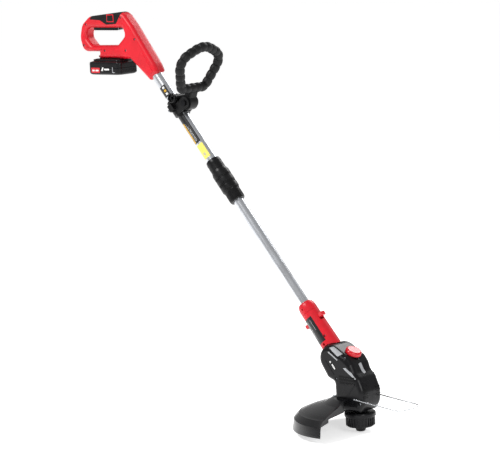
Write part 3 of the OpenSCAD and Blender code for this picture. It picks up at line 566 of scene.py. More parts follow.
seat_inputs = [("Geometry", "NodeSocketGeometry"), ("Screw", "NodeSocketObject"), ("Finish", "NodeSocketMaterial"),
               ("Seed", "NodeSocketInt")]
seat_tree, given = new_tree("screw_at_each_seat", seat_inputs)
shape_in = add(seat_tree, "GeometryNodeObjectInfo", {"Object": given["Screw"]})
any_turn = add(seat_tree, "FunctionNodeRandomValue", {"Seed": given["Seed"]}, data_type="FLOAT")
any_turn.inputs[3].default_value = math.pi
spun = add(seat_tree, "ShaderNodeCombineXYZ", {"Z": any_turn.outputs[1]})
put = add(seat_tree, "GeometryNodeInstanceOnPoints", {"Points": given["Geometry"], "Instance": shape_in.outputs[4],
                                                      "Rotation": spun.outputs[0]})
finish_tree(seat_tree, put.outputs[0], given["Finish"])


# %% Screw sets
def screw_set(name, seats, r, h, out, where, body, stands_for, seed, shank=0.0):
    """Screws whose heads start at seats and point along out, which is a rotation from +Z."""
    head = pan_head(r, h)
    if shank:
        body_rod = lathe([(0, 0.2), (r * 0.5, 0.2), (r * 0.5, -shank), (0, -shank - 1)], 16)
        joined = bpy.data.meshes.new("shank")
        body_rod.to_mesh(joined)
        body_rod.free()
        head.from_mesh(joined)
    one = loose(head, "one_screw")
    points = bpy.data.meshes.new("seats")
    points.from_pydata([out.inverted() @ Vector(s) for s in seats], [], [])
    mesh = grow(seat_tree, {"Screw": one, "Finish": zinc, "Seed": seed}, points)
    bpy.data.objects.remove(one)
    mesh.transform(out)
    return piece(name, mesh, where, body, None, stands_for)


to_right = Matrix.Rotation(math.radians(90), 4, "X")
screw_set("handle_screw_set", [(x, screw_seat, z) for x, z in grip_screws], 2.9, 2.2, to_right, level, "handle",
          ["handle_screws"], 3, 20)

# %% [markdown]
# ## Battery pack
# A black case in two halves, with a shouldered top, rounded ends, a red patch and pale printed marks on each
# side, and a row of slanted grip ribs towards the front.

# %% Battery case
pack_low, pack_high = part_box("battery_tray")
to_level = level.inverted()
b0, b1 = to_level @ pack_low, to_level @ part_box("battery_cover")[1]
case_top = (to_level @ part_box("battery_latch")[1]).z + 2
split = (to_level @ pack_high).z
half_l, half_w = (b1.x - b0.x) / 2, (b1.y - b0.y) / 2
mid_x = b0.x + half_l


def pack_loop(z, pull, corner):
    """Plan outline of the pack at a height, pulled in from its full size."""
    x, y = half_l - pull, half_w - pull
    corners = [[mid_x - x, -y, corner], [mid_x + x, -y, corner], [mid_x + x, y, corner], [mid_x - x, y, corner]]
    return [(p.x, p.y, z) for p in rounded(corners, 8)]


def stacked(loops):
    """Closed solid from loops of equal length, one above the other."""
    bm = bmesh.new()
    rows = [[bm.verts.new(p) for p in loop] for loop in loops]
    for a, b in zip(rows, rows[1:]):
        for i in range(len(a)):
            bm.faces.new((a[i - 1], a[i], b[i], b[i - 1]))
    bm.faces.new(rows[0])
    bm.faces.new(rows[-1])
    bmesh.ops.recalc_face_normals(bm, faces=bm.faces)
    return bm


def bent(z0, pull0, z1, pull1, steps=5):
    """Heights and pulls along a quarter round from one level to another."""
    turns = [math.radians(90 * k / steps) for k in range(steps + 1)]
    return [(z0 + (z1 - z0) * math.sin(a), pull1 + (pull0 - pull1) * math.cos(a)) for a in turns]


low = b0.z
tray = [(low, 6), (low + 0.8, 3.4), (low + 2.2, 1.5), (low + 4.4, 0.3), (low + 7, 0), (split - 0.5, 0),
        (split - 0.15, 0.5)]
cover = [(split + 0.15, 0.5), (split + 0.5, 0)] + bent(case_top - 12, 0, case_top - 7, 2.2) + \
    bent(case_top - 5, 8, case_top, 12)
latch_room = box((b0.x - 3, b0.x + 7.3), (-12.3, 12.3), (case_top - 20.3, case_top - 1.7))
piece("battery_tray_case", stacked([pack_loop(z, p, 12) for z, p in tray]), level, "battery", black_abs,
      ["battery_tray"], sharp=38)
lid = carve(stacked([pack_loop(z, p, 12) for z, p in cover]), latch_room)
piece("battery_cover_case", lid, level, "battery", black_abs, ["battery_cover"], sharp=38)
rail = slab([[-147, case_top - 3, 1], [-78, case_top - 3, 1], [-78, 1.6, 1], [-147, 1.6, 1]],
            [(0, -11.9), (0, 11.9)], steps=3)
piece("battery_rail_stem", rail, level, "battery", black_abs)
head_rail = slab([[-147, -2.8, 0.6], [-78, -2.8, 0.6], [-78, 1.7, 0.6], [-147, 1.7, 0.6]], [(0, -15), (0, 15)],
                 steps=3)
piece("battery_rail_head", head_rail, level, "battery", black_abs)
softened("battery_latch", black_abs, 0.7)

# %% [markdown]
# The slanted ribs are one row: a thin bar, repeated along a line at a fixed pitch. The same tree later makes the
# head's cooling slots, drawn as thin near-black bars of painted shade, and the ribs on the loop's stem, each with
# its own count, pitch and bar size.

# %% Tree for a row of bars
row_tree, given = new_tree("row_of_bars", [("Count", "NodeSocketInt"), ("Pitch", "NodeSocketVector"),
                                           ("Bar", "NodeSocketVector"), ("Turn", "NodeSocketVector"),
                                           ("First", "NodeSocketVector"), ("Finish", "NodeSocketMaterial")])
line = add(row_tree, "GeometryNodeMeshLine", {"Count": given["Count"], "Start Location": given["First"],
                                              "Offset": given["Pitch"]})
bar = add(row_tree, "GeometryNodeMeshCube", {"Size": given["Bar"]})
put = add(row_tree, "GeometryNodeInstanceOnPoints", {"Points": line.outputs[0], "Instance": bar.outputs[0],
                                                     "Rotation": given["Turn"]})
finish_tree(row_tree, put.outputs[0], given["Finish"])


def grown_piece(tree, values, name, where, body, finish, bevel):
    """A piece whose mesh comes from a tree."""
    bm = bmesh.new()
    bm.from_mesh(grow(tree, dict(values, Finish=finish)))
    return piece(name, bm, where, body, finish, (), bevel)


def bar_row(name, where, body, finish, count, first, pitch, bar, turn=(0, 0, 0), bevel=0.25):
    values = {"Count": count, "First": first, "Pitch": pitch, "Bar": bar, "Turn": turn}
    return grown_piece(row_tree, values, name, where, body, finish, bevel)


# %% Battery sides and front
def battery_print(name, side, corners, finish, thick):
    """Printed or glued patch on a side of the pack; corners are [x from the middle, z from the bottom, radius]."""
    y = side * half_w
    flat = slab([[mid_x + x, low + z, r] for x, z, r in corners], [(0, y - thick), (0, y + thick)], steps=4)
    piece(name + ("_right" if side < 0 else "_left"), flat, level, "battery", finish)


for side in (-1, 1):
    battery_print("battery_red_patch", side, [[-43, 5, 2], [-13, 5, 2], [-13, 18, 2], [-43, 18, 2]], red_ink, 0.25)
    for k, (x, width) in enumerate(((-39, 8), (-28, 11))):
        battery_print(f"battery_patch_block_{k}", side, [[x, 9, 0.8], [x + width, 9, 0.8], [x + width, 13, 0.8],
                                                         [x, 13, 0.8]], white_ink, 0.32)
    slant = [[-8, 10, 0.8], [-3, 10, 0.8], [1, 19, 0.8], [-4, 19, 0.8]]
    battery_print("battery_slant", side, slant, white_ink, 0.25)
    battery_print("battery_bar", side, [[3, 12, 0.8], [20, 12, 0.8], [20, 16, 0.8], [3, 16, 0.8]], white_ink, 0.25)
    battery_print("battery_corner", side, [[31, 6, 0.6], [39, 6, 0.6], [39, 7.6, 0.6], [32.6, 7.6, 0.6],
                                           [32.6, 20, 0.6], [31, 20, 0.6]], grey_ink, 0.25)
bar_row("battery_ribs_front", level, "battery", black_abs, 9, (mid_x + half_l, -24, low + 9), (0, 6, 0),
        (1.1, 1.8, 10), (math.radians(35), 0, 0))

# %% [markdown]
# ## Tubes and labels
# Two drawn aluminium tubes, one sliding in the other. Only their outsides and ends show, so each is a thin-walled
# ring turned about the shaft. The labels are film wrapped on the upper tube, and carry plain blocks and
# thin lines in place of any wording.

# %% Tubes
def tube(node, name, r, wall):
    a, b = height_of(node)
    soft = 0.3
    rim = [(r - wall, a), (r - soft, a), (r, a + soft), (r, b - soft), (r - soft, b), (r - wall, b)]
    return piece(name, lathe(rim, 96, closed=True), shaft(0), body_of[node], alu, [node])


tube("upper_tube", "upper_tube_drawn", tube_d / 2, 1.2)
tube("lower_tube", "lower_tube_drawn", 12.5, 1.2)
collar_high = height_of("collar_sleeve")[1]


# %% Labels
def wrapped(lift, z0, z1, a0, a1):
    """Film round the upper tube between two heights and two angles; angle 0 is ahead, -90 is the right side."""
    rim = [(tr - 0.1, z0), (tr + lift, z0), (tr + lift, z1), (tr - 0.1, z1)]
    return lathe(rim, round(a1 - a0), a1 - a0, a0, closed=True)


clamp_low = height_of("clamp_front")[0]
tr = tube_d / 2
# The clamp slides over the films with 0.05 mm to spare, so they are thinner than that
film_lift, mark_lift = 0.016, 0.029
labels = [("label_upper", black_film, collar_high + 199, collar_high + 230, -132, -42),
          ("label_lower", black_film, collar_high + 55, clamp_low + 12, -132, -42),
          ("label_lower_panel", gold_film, collar_high + 57, collar_high + 117, -122, -100),
          ("label_plate", yellow_film, collar_high + 9, collar_high + 50, -140, -40)]
for i, (n, finish, z0, z1, a0, a1) in enumerate(labels):
    piece(n, wrapped(mark_lift if i == 2 else film_lift, z0, z1, a0, a1), shaft(0), "handle", finish)
for k in range(3):
    z = collar_high + 203 + 9 * k
    piece(f"label_upper_block_{k}", wrapped(mark_lift, z, z + 6, -86, -62), shaft(0), "handle",
          gold_film if k % 2 else white_ink)
for k, a in enumerate((-88, -80, -72)):
    z0, z1 = collar_high + 60, collar_high + 112 - 8 * k
    piece(f"label_lower_line_{k}", wrapped(mark_lift, z0, z1, a, a + 2), shaft(0), "handle", white_ink)
for k, (a0, a1) in enumerate(((-98, -88), (-84, -72))):
    z = collar_high + 17
    piece(f"label_plate_mark_{k}", wrapped(mark_lift, z, z + 7, a0, a1), shaft(0), "handle", grey_ink)

# %% [markdown]
# ## Twist-lock collar
# A sleeve is fixed to the upper tube, and below it a nut turns to clamp the lower tube. Both are turned shapes
# with stepped grip rings; fine lengthwise ribs run round two of the bands, so that a wet hand holds them.

# %% Collar profiles
nut_low, nut_high = height_of("collar_nut")
nut_r = 22
nut = [(12.9, 0), (17.6, 0), (18.6, 1.2), (19.0, 2.4), (19.3, 26), (20.4, 29.5), (20.8, 31), (20.8, 32.6),
       (21.7, 33.2), (nut_r, 34), (nut_r, 45), (21.7, 45.8), (20.8, 46.4), (20.8, 51.6), (21.7, 52.2),
       (nut_r, 53), (nut_r, 64), (21.7, 64.8), (20.8, 65.4), (20.8, 70.6), (21.7, 71.2), (nut_r, 72),
       (nut_r, 83), (21.6, 84.2), (20.8, 85), (20.2, 88), (19.2, nut_high - nut_low), (16.6, nut_high - nut_low),
       (16.6, 18), (12.9, 18)]
piece("collar_nut_turned", lathe(nut, 96, closed=True), shaft(nut_low), "collar", black_nylon, ["collar_nut"],
      sharp=30)
s0 = nut_high + 0.3 - nut_low
sleeve_low = height_of("collar_sleeve")[0] - nut_low
top = collar_high - nut_low
sleeve = [(14.06, sleeve_low), (16.4, sleeve_low), (16.4, s0), (18.2, s0), (18.9, s0 + 0.8), (19.0, s0 + 2),
          (18.7, top - 12), (19.1, top - 11), (19.1, top - 8), (18.6, top - 7), (18.4, top - 3), (17.6, top - 0.8),
          (16.6, top), (14.06, top)]
piece("collar_sleeve_turned", lathe(sleeve, 96, closed=True), shaft(nut_low), "handle", black_nylon,
      ["collar_sleeve"], sharp=30)

# %% Tree for ribs round a band
ring_tree, given = new_tree("ribs_round_a_band", [("Count", "NodeSocketInt"), ("Radius", "NodeSocketFloat"),
                                                  ("Rib", "NodeSocketVector"), ("Height", "NodeSocketFloat"),
                                                  ("Finish", "NodeSocketMaterial")])
circle = add(ring_tree, "GeometryNodeMeshCircle", {"Vertices": given["Count"], "Radius": given["Radius"]})
rib = add(ring_tree, "GeometryNodeMeshCube", {"Size": given["Rib"]})
number = add(ring_tree, "GeometryNodeInputIndex")
share = add(ring_tree, "ShaderNodeMath", {0: number.outputs[0], 1: given["Count"]}, operation="DIVIDE")
angle = add(ring_tree, "ShaderNodeMath", {0: share.outputs[0], 1: 2 * math.pi}, operation="MULTIPLY")
facing = add(ring_tree, "ShaderNodeCombineXYZ", {"Z": angle.outputs[0]})
put = add(ring_tree, "GeometryNodeInstanceOnPoints", {"Points": circle.outputs[0], "Instance": rib.outputs[0],
                                                      "Rotation": facing.outputs[0]})
lift = add(ring_tree, "ShaderNodeCombineXYZ", {"Z": given["Height"]})
moved = add(ring_tree, "GeometryNodeTransform", {"Geometry": put.outputs[0], "Translation": lift.outputs[0]})
finish_tree(ring_tree, moved.outputs[0], given["Finish"])


def rib_ring(name, where, body, finish, count, radius, rib, height, bevel=0.2):
    values = {"Count": count, "Radius": radius, "Rib": rib, "Height": height}
    return grown_piece(ring_tree, values, name, where, body, finish, bevel)


# %% Ribs on the nut and sleeve
for k, z in enumerate((49, 68)):
    rib_ring(f"collar_nut_ribs_{k}", shaft(nut_low), "collar", black_nylon, 36, 21.0, (1.2, 1.3, 5.4), z)
rib_ring("collar_nut_foot_ribs", shaft(nut_low), "collar", black_nylon, 30, 19.1, (1.1, 1.2, 20), 14)
rib_ring("collar_sleeve_ribs", shaft(nut_low), "handle", black_nylon, 24, 18.6, (1.0, 1.2, 10), s0 + 8)

# %% [markdown]
# ## Front loop handle
# A foam-like grip moulded over a tube, with finger bumps all round its inner and outer edges. Its section is
# round and its radius swells and shrinks along the path, which is what the eye reads as finger bumps. A ribbed
# stem joins it to a round hub, which turns in the clamp on the shaft.

# %% Loop
hub = centre("loop_tilt")
loop_lean = math.radians(63.4)
in_loop = Matrix.Translation(hub) @ Matrix.Rotation(-lean, 4, "Y") @ Matrix.Rotation(loop_lean, 4, "Y") @ \
    Matrix.Scale(MM, 4)
loop_corners = [[-42, 38, 16], [42, 38, 16], [76, 118, 32], [0, 155, 62], [-76, 118, 32]]


def even_path(points, count):
    """The same closed line, cut into count equal steps."""
    ends = points + points[:1]
    lengths = [0]
    for a, b in zip(ends, ends[1:]):
        lengths.append(lengths[-1] + (b - a).length)
    out, i = [], 0
    for k in range(count):
        s = lengths[-1] * k / count
        while lengths[i + 1] < s:
            i += 1
        t = (s - lengths[i]) / max(1e-9, lengths[i + 1] - lengths[i])
        out.append(ends[i].lerp(ends[i + 1], t))
    return out


line_2d = even_path(rounded(loop_corners, 16), 420)
loop_line = [Vector((0, p.x, p.y)) for p in line_2d]
bumps = 21


def bumpy(share, a):
    """Radius of the grip: swells at each finger bump, most on the inner and outer edges."""
    wave = abs(math.sin(math.pi * bumps * share))
    return 9.7 + 2.7 * wave ** 0.6 * (0.4 + 0.6 * abs(math.sin(a)))


piece("loop_grip", rod(loop_line, bumpy, 28, True), in_loop, "loop", soft_tpe, ["loop_handle"], sharp=60)
hub_shape = carve(pin(0, 0, 19, -13, 13, 64), pin(0, 0, 4.05, -14, 14))
piece("loop_hub", hub_shape, in_loop, "loop", black_nylon, bevel=0.9)
stem = slab([[-11, 0, 1], [11, 0, 1], [9.5, 34, 5], [-9.5, 34, 5]], edge_steps(-13, 13, 3, 3))
piece("loop_stem", stem, in_loop, "loop", soft_tpe)
for side, n in ((-1, "right"), (1, "left")):
    bar_row("loop_stem_ribs_" + n, in_loop, "loop", soft_tpe, 4, (0, side * 12.9, 20), (0, 0, 3.4), (15, 1.2, 1.4))

# %% Clamp, bolts and knob
softened("clamp_front", black_nylon, 0.8)
softened("clamp_back", black_nylon, 0.8)
clamp_at = (height_of("clamp_front")[0] + height_of("clamp_front")[1]) / 2
knob_at = centre("knob_turn")
knob_where = Matrix.Translation(knob_at) @ Matrix.Rotation(-lean, 4, "Y") @ \
    Matrix.Rotation(math.radians(90), 4, "X") @ Matrix.Scale(MM, 4)
kb0, kb1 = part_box("loop_knob")
near, far = (knob_at.y - kb0.y) / MM, (knob_at.y - kb1.y) / MM
knob = [(0, near - 7), (6.4, near - 7), (8.4, near - 6), (8.8, near - 1), (9.4, near), (10.6, near - 0.3),
        (11.6, near - 1.6), (11.6, far + 4.2), (10.8, far + 3), (7, far + 2.6), (7, far), (0, far)]
turned = lathe(knob, 72)
piece("loop_knob_turned", turned, knob_where, "knob", black_nylon, ["loop_knob"], sharp=34)
rib_ring("loop_knob_ribs", knob_where, "knob", black_nylon, 12, 11.3, (1.4, 2.2, near - far - 6.4),
         (near + far) / 2 + 1.3, 0.4)
screw_set("clamp_screw_set", [(-10.6, y, clamp_at) for y in (-22.5, 22.5)], 3.6, 3.4,
          Matrix.Rotation(math.radians(-90), 4, "Y"), shaft(0), "clamp", ["clamp_screws"], 5, 15)

# %% [markdown]
# ## Neck
# The red cap stays with the lower tube while the body below its seam turns, once the ring with its two tabs is
# pulled back. The CAD shapes are right here, so they are kept with softened edges, and the printed label on the
# right side is added as film wrapped on the cone.

# %% Neck
softened("neck_cap", red_abs, 0.6)
softened("neck_right", red_abs, 0.5)
softened("neck_left", red_abs, 0.5)
softened("release_ring", red_gloss, 0.8)
neck_r, flare = 21.5, 2.5


def neck_film(name, finish, z0, z1, a0, a1, lift):
    """Film on the cone of the neck between two heights above the pivot."""
    def r(z):
        return neck_r + flare * (seam_at - z) / seam_at
    rim = [(r(z0) + 0.02, z0), (r(z0) + lift, z0), (r(z1) + lift, z1), (r(z1) + 0.02, z1)]
    return piece(name, lathe(rim, 24, a1 - a0, a0, closed=True), shaft(0), "neck", finish)


neck_film("neck_label", black_film, seam_at - 82, seam_at - 13, -148, -62, 0.14)
for k, (a, end) in enumerate(((-128, -76), (-118, -62), (-110, -70), (-84, -48))):
    ink = white_ink if k == 1 else grey_ink
    neck_film(f"neck_label_line_{k}", ink, seam_at + end, seam_at - 19, a, a + 2.2, 0.2)
screw_set("neck_screw_set", [(x, -13.5, seam_at + z) for x, z in ((0, -88), (12, -72), (-12, -72))], 2.9, 2.0,
          to_right, shaft(0), "neck", ["neck_screws"], 7, 20)

# %% [markdown]
# ## Motor head
# The housing is two black shells split down the middle. Above the ridge that runs from the drum to the front, a
# smooth hood stands slightly proud of the flat sides. Pale stripes are printed on the hood and along the ridge.
# The cooling slots in the flat side and the front are thin near-black films of painted shade beside raised lips,
# not openings.

# %% Head outline
drum_r = 32
P = pivot / MM
head_low = 52


def on_drum(a, r):
    return (P.x + r * math.cos(math.radians(a)), P.z + r * math.sin(math.radians(a)))


quarter = (217 - 59) / 4
drum_a = on_drum(59 + quarter, drum_r / math.cos(math.radians(quarter)))
drum_b = on_drum(217 - quarter, drum_r / math.cos(math.radians(quarter)))
head_outline = [[-46, head_low, 3], [27, head_low, 6], [40, 72, 30], [41, 102, 30], [28, 133, 20], [14, 146, 20],
                [8, 164, 12], [-4, 180, 10], [*drum_a, drum_r], [*drum_b, drum_r], [-67, 127, 12], [-47, 119, 8]]
ridge = [(-100, 201), (-70, 197), (-57, 194), (-22, 175), (22, 143), (40, 131.5), (80, 106)]
hood_zone = [[x, z, 6] for x, z in ridge] + [[80, 300, 1], [-100, 300, 1]]
brow = [[-60, 146, 1], [-38, 131, 4], [-30, 126, 6], [-14, 115, 10], [0, 112, 20], [14, 115, 10], [30, 126, 6],
        [38, 131, 4], [60, 146, 1], [60, 300, 1], [-60, 300, 1]]
half_head = 38         # half the head's width
side_w = half_head - 0.6      # the flat sides lie a little under the hood
head_edge, hood_edge = 13, 16
head_seat_y = -33


def pedal_frame():
    low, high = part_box("pedal")
    return Matrix.Translation(Vector((-0.012, 0, 0.187))) @ Matrix.Rotation(math.radians(25), 4, "Y") @ upright


def turned_cutter(profile, where):
    bm = lathe(profile, 64)
    bm.transform(Matrix.Scale(1 / MM, 4) @ where)
    return bm


def lug_room():
    """The round pocket for the lug, and the sector that the neck's foot sweeps as the head tilts."""
    swept = lathe([(0, -11.3), (drum_r + 10, -11.3), (drum_r + 10, 11.3), (0, 11.3)], 40, 100, -184.4)
    swept.transform(Matrix.Translation((P.x, 0, P.z)) @ Matrix.Rotation(math.radians(-90), 4, "X"))
    return [pin(P.x, P.z, drum_r - 11.7, -11.3, 11.3, 64), swept]


def head_cutters():
    well = [(0, -9.2), (19.85, -9.2), (19.85, 40), (0, 40)]
    deep = [(0, -30), (7.4, -30), (7.4, 10), (0, 10)]
    return [turned_cutter(well, pedal_frame()), turned_cutter(deep, pedal_frame())] + lug_room()


# %% Head shells
head_seats = [(-38, 62), (30, 74), (12, 134), (-37, 128)]
for side, n in ((-1, "head_right"), (1, "head_left")):
    ends, edges = ((-side_w, -seam), (head_edge, 0)) if side < 0 else ((seam, side_w), (0, head_edge))
    shell = slab(inset(head_outline, 0.5), edge_steps(*ends, *edges, 8), steps=9)
    wells = [pin(x, z, well_r, -45, head_seat_y) for x, z in head_seats] if side < 0 else []
    piece(n + "_shell", carve(shell, *head_cutters(), *wells), upright, "head", black_abs, [n], sharp=35)


def seen_from_front(bm):
    """A slab drawn in the plane of the head's front, [y, z], with its thickness along x."""
    bm.transform(Matrix.Rotation(math.radians(90), 4, "Z"))
    return bm


def hood_skin(grow=0.0):
    w = half_head + 1.1 + grow
    return slab(inset(head_outline, -grow), edge_steps(-w, w, hood_edge, hood_edge, 9), steps=10)


def side_skin(grow=0.0):
    w = side_w + grow
    return slab(inset(head_outline, 0.5 - grow), edge_steps(-w, w, head_edge, head_edge, 8), steps=9)


front_zone = seen_from_front(slab(brow, [(0, -90), (0, -24)], steps=6))
zone = carve(slab(hood_zone, [(0, -60), (0, 60)], steps=6), front_zone, how="UNION")
hood = carve(hood_skin(), zone, how="INTERSECT")
top_seat = (-12, 178)
hood = carve(hood, *head_cutters(), pin(12, 134, well_r, -45, head_seat_y), pin(*top_seat, 3.4, -45, -31))
piece("head_hood", hood, upright, "head", black_abs, sharp=35)
screw_set("head_screw_set", [(x, head_seat_y, z) for x, z in head_seats], 2.9, 2.2, to_right, upright, "head",
          ["head_screws"], 9, 28)


# %% Printed stripes and raised panels on the head
def film(name, corners, skin, finish, thick=0.3, front=False, sides=(-1, 1), from_y=24):
    """Thin film that follows one of the head's rounded skins inside an outline."""
    for side in sides:
        if front:
            at = [[side * -y, z, r] for y, z, r in (corners if side < 0 else corners[::-1])]
            prism = seen_from_front(slab(at, [(0, -90), (0, 8)], steps=4))
        else:
            prism = slab(corners, [(0, min(side * from_y, side * 60)), (0, max(side * from_y, side * 60))], steps=4)
        shape = carve(carve(prism, skin(thick), how="INTERSECT"), skin(-0.7))
        piece(name + ("_right" if side < 0 else "_left"), shape, upright, "head", finish, sharp=45)


printed = [("head_top_plate", [[-55, 201, 1], [-40, 204, 2], [-17, 189, 1], [-29, 182, 2]], grey_ink, 0.4, 30),
           ("head_long_stripe", [[-15, 155.5, 1], [-7, 157, 1], [25, 134, 1], [19, 131, 1]], grey_ink, 0.5, 35),
           ("head_thin_stripe", [[-59, 189.2, 0.6], [-56, 191.8, 0.6], [-50, 187.6, 0.6], [-30, 174.4, 0.6],
                                 [-31, 171.6, 0.6]], grey_ink, 0.3, 24),
           ("head_cheek", [[-29, 114, 2], [21, 121, 2], [-5, 89, 3]], black_abs, 0.9, 24),
           ("head_rear_line", [[-68.6, 169.4, 0.5], [-67.4, 170.6, 0.5], [-42.4, 137.6, 0.5], [-43.6, 136.4, 0.5]],
            black_abs, 0.7, 24),
           ("head_mark_long", [[-49, 161, 0.6], [-46, 163, 0.6], [-38, 152, 0.6], [-41, 150, 0.6]], white_ink, 0.3,
            24),
           ("head_mark_short", [[-55, 168, 0.6], [-52, 170, 0.6], [-50, 166, 0.6], [-53, 164, 0.6]], white_ink, 0.3,
            24)]
for name, corners, finish, thick, from_y in printed:
    film(name, corners, hood_skin if name == "head_top_plate" else side_skin, finish, thick, from_y=from_y)
film("head_front_stripe", [[-8, 163, 1], [2, 164.5, 1], [6, 142, 1], [-3, 140, 1]], hood_skin, grey_ink, 0.4, True,
     (-1,))
# Painted shade: each front slot is a thin near-black film in the skin beside a raised lip; no opening is cut
for k, z in enumerate((107, 99.5, 90)):
    slot = [[-31, z - 3.4, 1], [-16, z - 4.2, 1], [-16, z, 1], [-31, z, 1]]
    lip = [[-31, z, 0.8], [-14, z - 0.6, 0.8], [-14, z + 1.6, 0.8], [-31, z + 2, 0.8]]
    film(f"head_front_slot_{k}", slot, side_skin, painted_slot_shade, 0.1, True)
    film(f"head_front_lip_{k}", lip, side_skin, black_abs, 1.1, True)
# Painted shade: the side slots are thin near-black bars set in the flat side beside raised lips; no opening is cut
for side, n in ((-1, "right"), (1, "left")):
    bar_row("head_side_slots_" + n, upright, "head", painted_slot_shade, 3, (-3.5, side * side_w, 121), (-1, 0, 7),
            (47, 0.5, 3.2), (0, math.radians(2), 0))
    bar_row("head_side_lips_" + n, upright, "head", black_abs, 3, (-3.5, side * side_w, 117.8), (-1, 0, 7),
            (48, 1.4, 1.4), (0, math.radians(2), 0), 0.4)
screw_set("head_top_screw", [(top_seat[0], -31.5, top_seat[1])], 3.0, 2.0, to_right, upright, "head", (), 13, 4)

# %% Tilt pedal
dish = [(0, -2.8), (18.6, -2.8), (19.3, -2), (19.4, 3.8), (18.9, 5.4), (17.6, 6.8), (16, 7.7), (14.4, 8.0),
        (13.6, 7.6), (7, 7.9), (0, 8.1)]
piece("pedal_moulded", lathe(dish, 96), pedal_frame(), "pedal", red_gloss, ["pedal"], sharp=50)
stem_of_pedal = lathe([(0, -14), (6.2, -14), (7, -13), (7, -2), (0, -2)], 48)
piece("pedal_stem", stem_of_pedal, pedal_frame(), "pedal", red_gloss, sharp=40)

# %% [markdown]
# ## Guard, cutter and wire
# The guard is a thin shell turned about the spool's axis over a little less than half a turn: a raised boss round
# the head, a domed top with a lip, and a deep skirt. Its ends are closed by stepped walls, and the near one
# carries the steel blade that trims the line.

# %% Guard
guard_r = 160
right_span, left_span = 93, 61
wall = 2.6
end_in = 2.5     # degrees from an end of the guard to its end wall
outer = [(42, 84), (60, 83.7), (64, 82.6), (82, 73.2), (84.4, 72), (104, 66.4), (118.4, 62), (128, 58.6), (136, 55),
         (141, 52.6), (144, 52.2), (147.2, 49), (151.6, 44.6), (155.2, 41), (156.6, 38), (157.6, 30), (158.6, 22),
         (159.3, 20.8), (160, 14)]
inner_side = [(157.4, 14), (156.4, 20), (155.4, 30), (153.4, 38), (145.6, 46.6), (136, 51.6), (118, 59.2),
              (83, 69.6), (63.6, 80.4), (42, 81.2)]
shell = lathe(outer + inner_side, 150, right_span + left_span, 180 - left_span, closed=True)
near_head = slab(inset(head_outline, -0.05), edge_steps(-half_head, half_head, head_edge, head_edge, 6), steps=6)
piece("guard_shell", carve(shell, near_head), upright, "head", black_pp, ["guard"], sharp=35, bevel=0.35)
end_wall = [[60, 82, 1], [60, 56, 3], [guard_r * 0.74, 50.5, 2], [guard_r * 0.74, 43, 2], [guard_r - 8, 36.5, 3],
            [guard_r - 8, 15.2, 1], [guard_r - 1.4, 15.2, 1], [guard_r - 4.6, 38.6, 2], [guard_r * 0.92, 46.6, 3],
            [guard_r * 0.74, 60.7, 8], [guard_r * 0.52 - 0.3, 71, 4], [63.7, 82, 1]]
for a, n in ((right_span - end_in, "right"), (end_in - left_span, "left")):
    turn = Matrix.Rotation(math.radians(180 + a), 4, "Z")
    plate = slab(end_wall, [(0, -wall / 2), (0, wall / 2)], steps=4)
    piece("guard_end_" + n, plate, upright @ turn, "head", black_pp, bevel=0.4)
guard_seats = [(60 * math.cos(math.radians(a)), 60 * math.sin(math.radians(a)), 84) for a in (150, 210)]
screw_set("guard_screw_set", guard_seats, 3.8, 2.3, Matrix.Identity(4), upright, "head", ["guard_screws"], 11, 11)

# %% Flower guard wire
hinge = centre("guard_flip")
drop = math.radians(6.5)
in_wire = Matrix.Translation(hinge) @ Matrix.Rotation(drop, 4, "Y") @ upright
wire_y, far_x = 40.1, 142.8
wire_corners = [[0, -wire_y + 6, 0.1], [0, -wire_y, 3.5], [far_x - 9, -wire_y, 14], [far_x, 0, 120],
                [far_x - 9, wire_y, 14], [0, wire_y, 3.5], [0, wire_y - 6, 0.1]]
bends = rounded(wire_corners, 10)
wire_line = [Vector((p.x, p.y, 0)) for p in bends[11:-11]]
wire_line = [Vector((0, -wire_y + 10, 0))] + wire_line + [Vector((0, wire_y - 10, 0))]
piece("wire_guard_bent", rod(wire_line, 1.46, 14), in_wire, "flower_guard", bright_wire, ["wire_guard"], sharp=60)

# %% [markdown]
# ## Spool and bump knob
# The cap that holds the line has ribs all round to grip while it is unclipped. The plain band above it belongs to
# the housing on the motor's shaft, and the knob below is what is bumped on the ground to feed more line.

# %% Spool
house = [(2.6, 30), (6, 30), (6, 44), (34.6, 44), (34.6, 37.2), (36.6, 37.2), (37.3, 38), (37.4, 43.6), (37, 45.4),
         (35.8, 47.2), (34, 48), (2.6, 48)]
piece("spool_housing_turned", lathe(house, 96, closed=True), upright, "spool", black_abs, ["spool_housing"],
      sharp=30)
cap = [(13.9, 12.2), (28, 12.1), (30, 12.6), (31.2, 14), (31.8, 17), (33.4, 36.4), (29, 36.4), (27.2, 14.8),
       (13.9, 14.6)]
cap_shape = lathe(cap, 96, closed=True)
holes = []
for a in (0, 180):
    bore = lathe([(0, 20), (3, 20), (3, 60), (0, 60)], 24)
    bore.transform(Matrix.Rotation(math.radians(a), 4, "Z") @ Matrix.Translation((0, 0, 29)) @
                   Matrix.Rotation(math.radians(90), 4, "Y"))
    holes.append(bore)
piece("spool_cap_moulded", carve(cap_shape, *holes), upright, "spool", black_abs, ["spool_cap"], sharp=30,
      bevel=0.3)
rib_ring("spool_cap_ribs", upright, "spool", black_abs, 28, 32.9, (3.2, 2.6, 19.6), 25.2, 0.6)
knob_profile = [(0, 0), (6.5, 0), (8.8, 0.5), (10.6, 1.6), (11.8, 4.4), (12.5, 7.2), (13.4, 9), (13.4, 14.9),
                (15.4, 14.9), (15.4, 16.8), (5, 16.9), (5, 20.8), (0, 20.8)]
piece("bump_knob_turned", lathe(knob_profile, 72), upright, "bump", black_nylon, ["bump_knob"], sharp=34)

# %% [markdown]
# ## Springs
# Compression springs are one curve each: a spiral with a round wire round it. The tree takes the coil's radius,
# its height, its turns and the wire's radius.

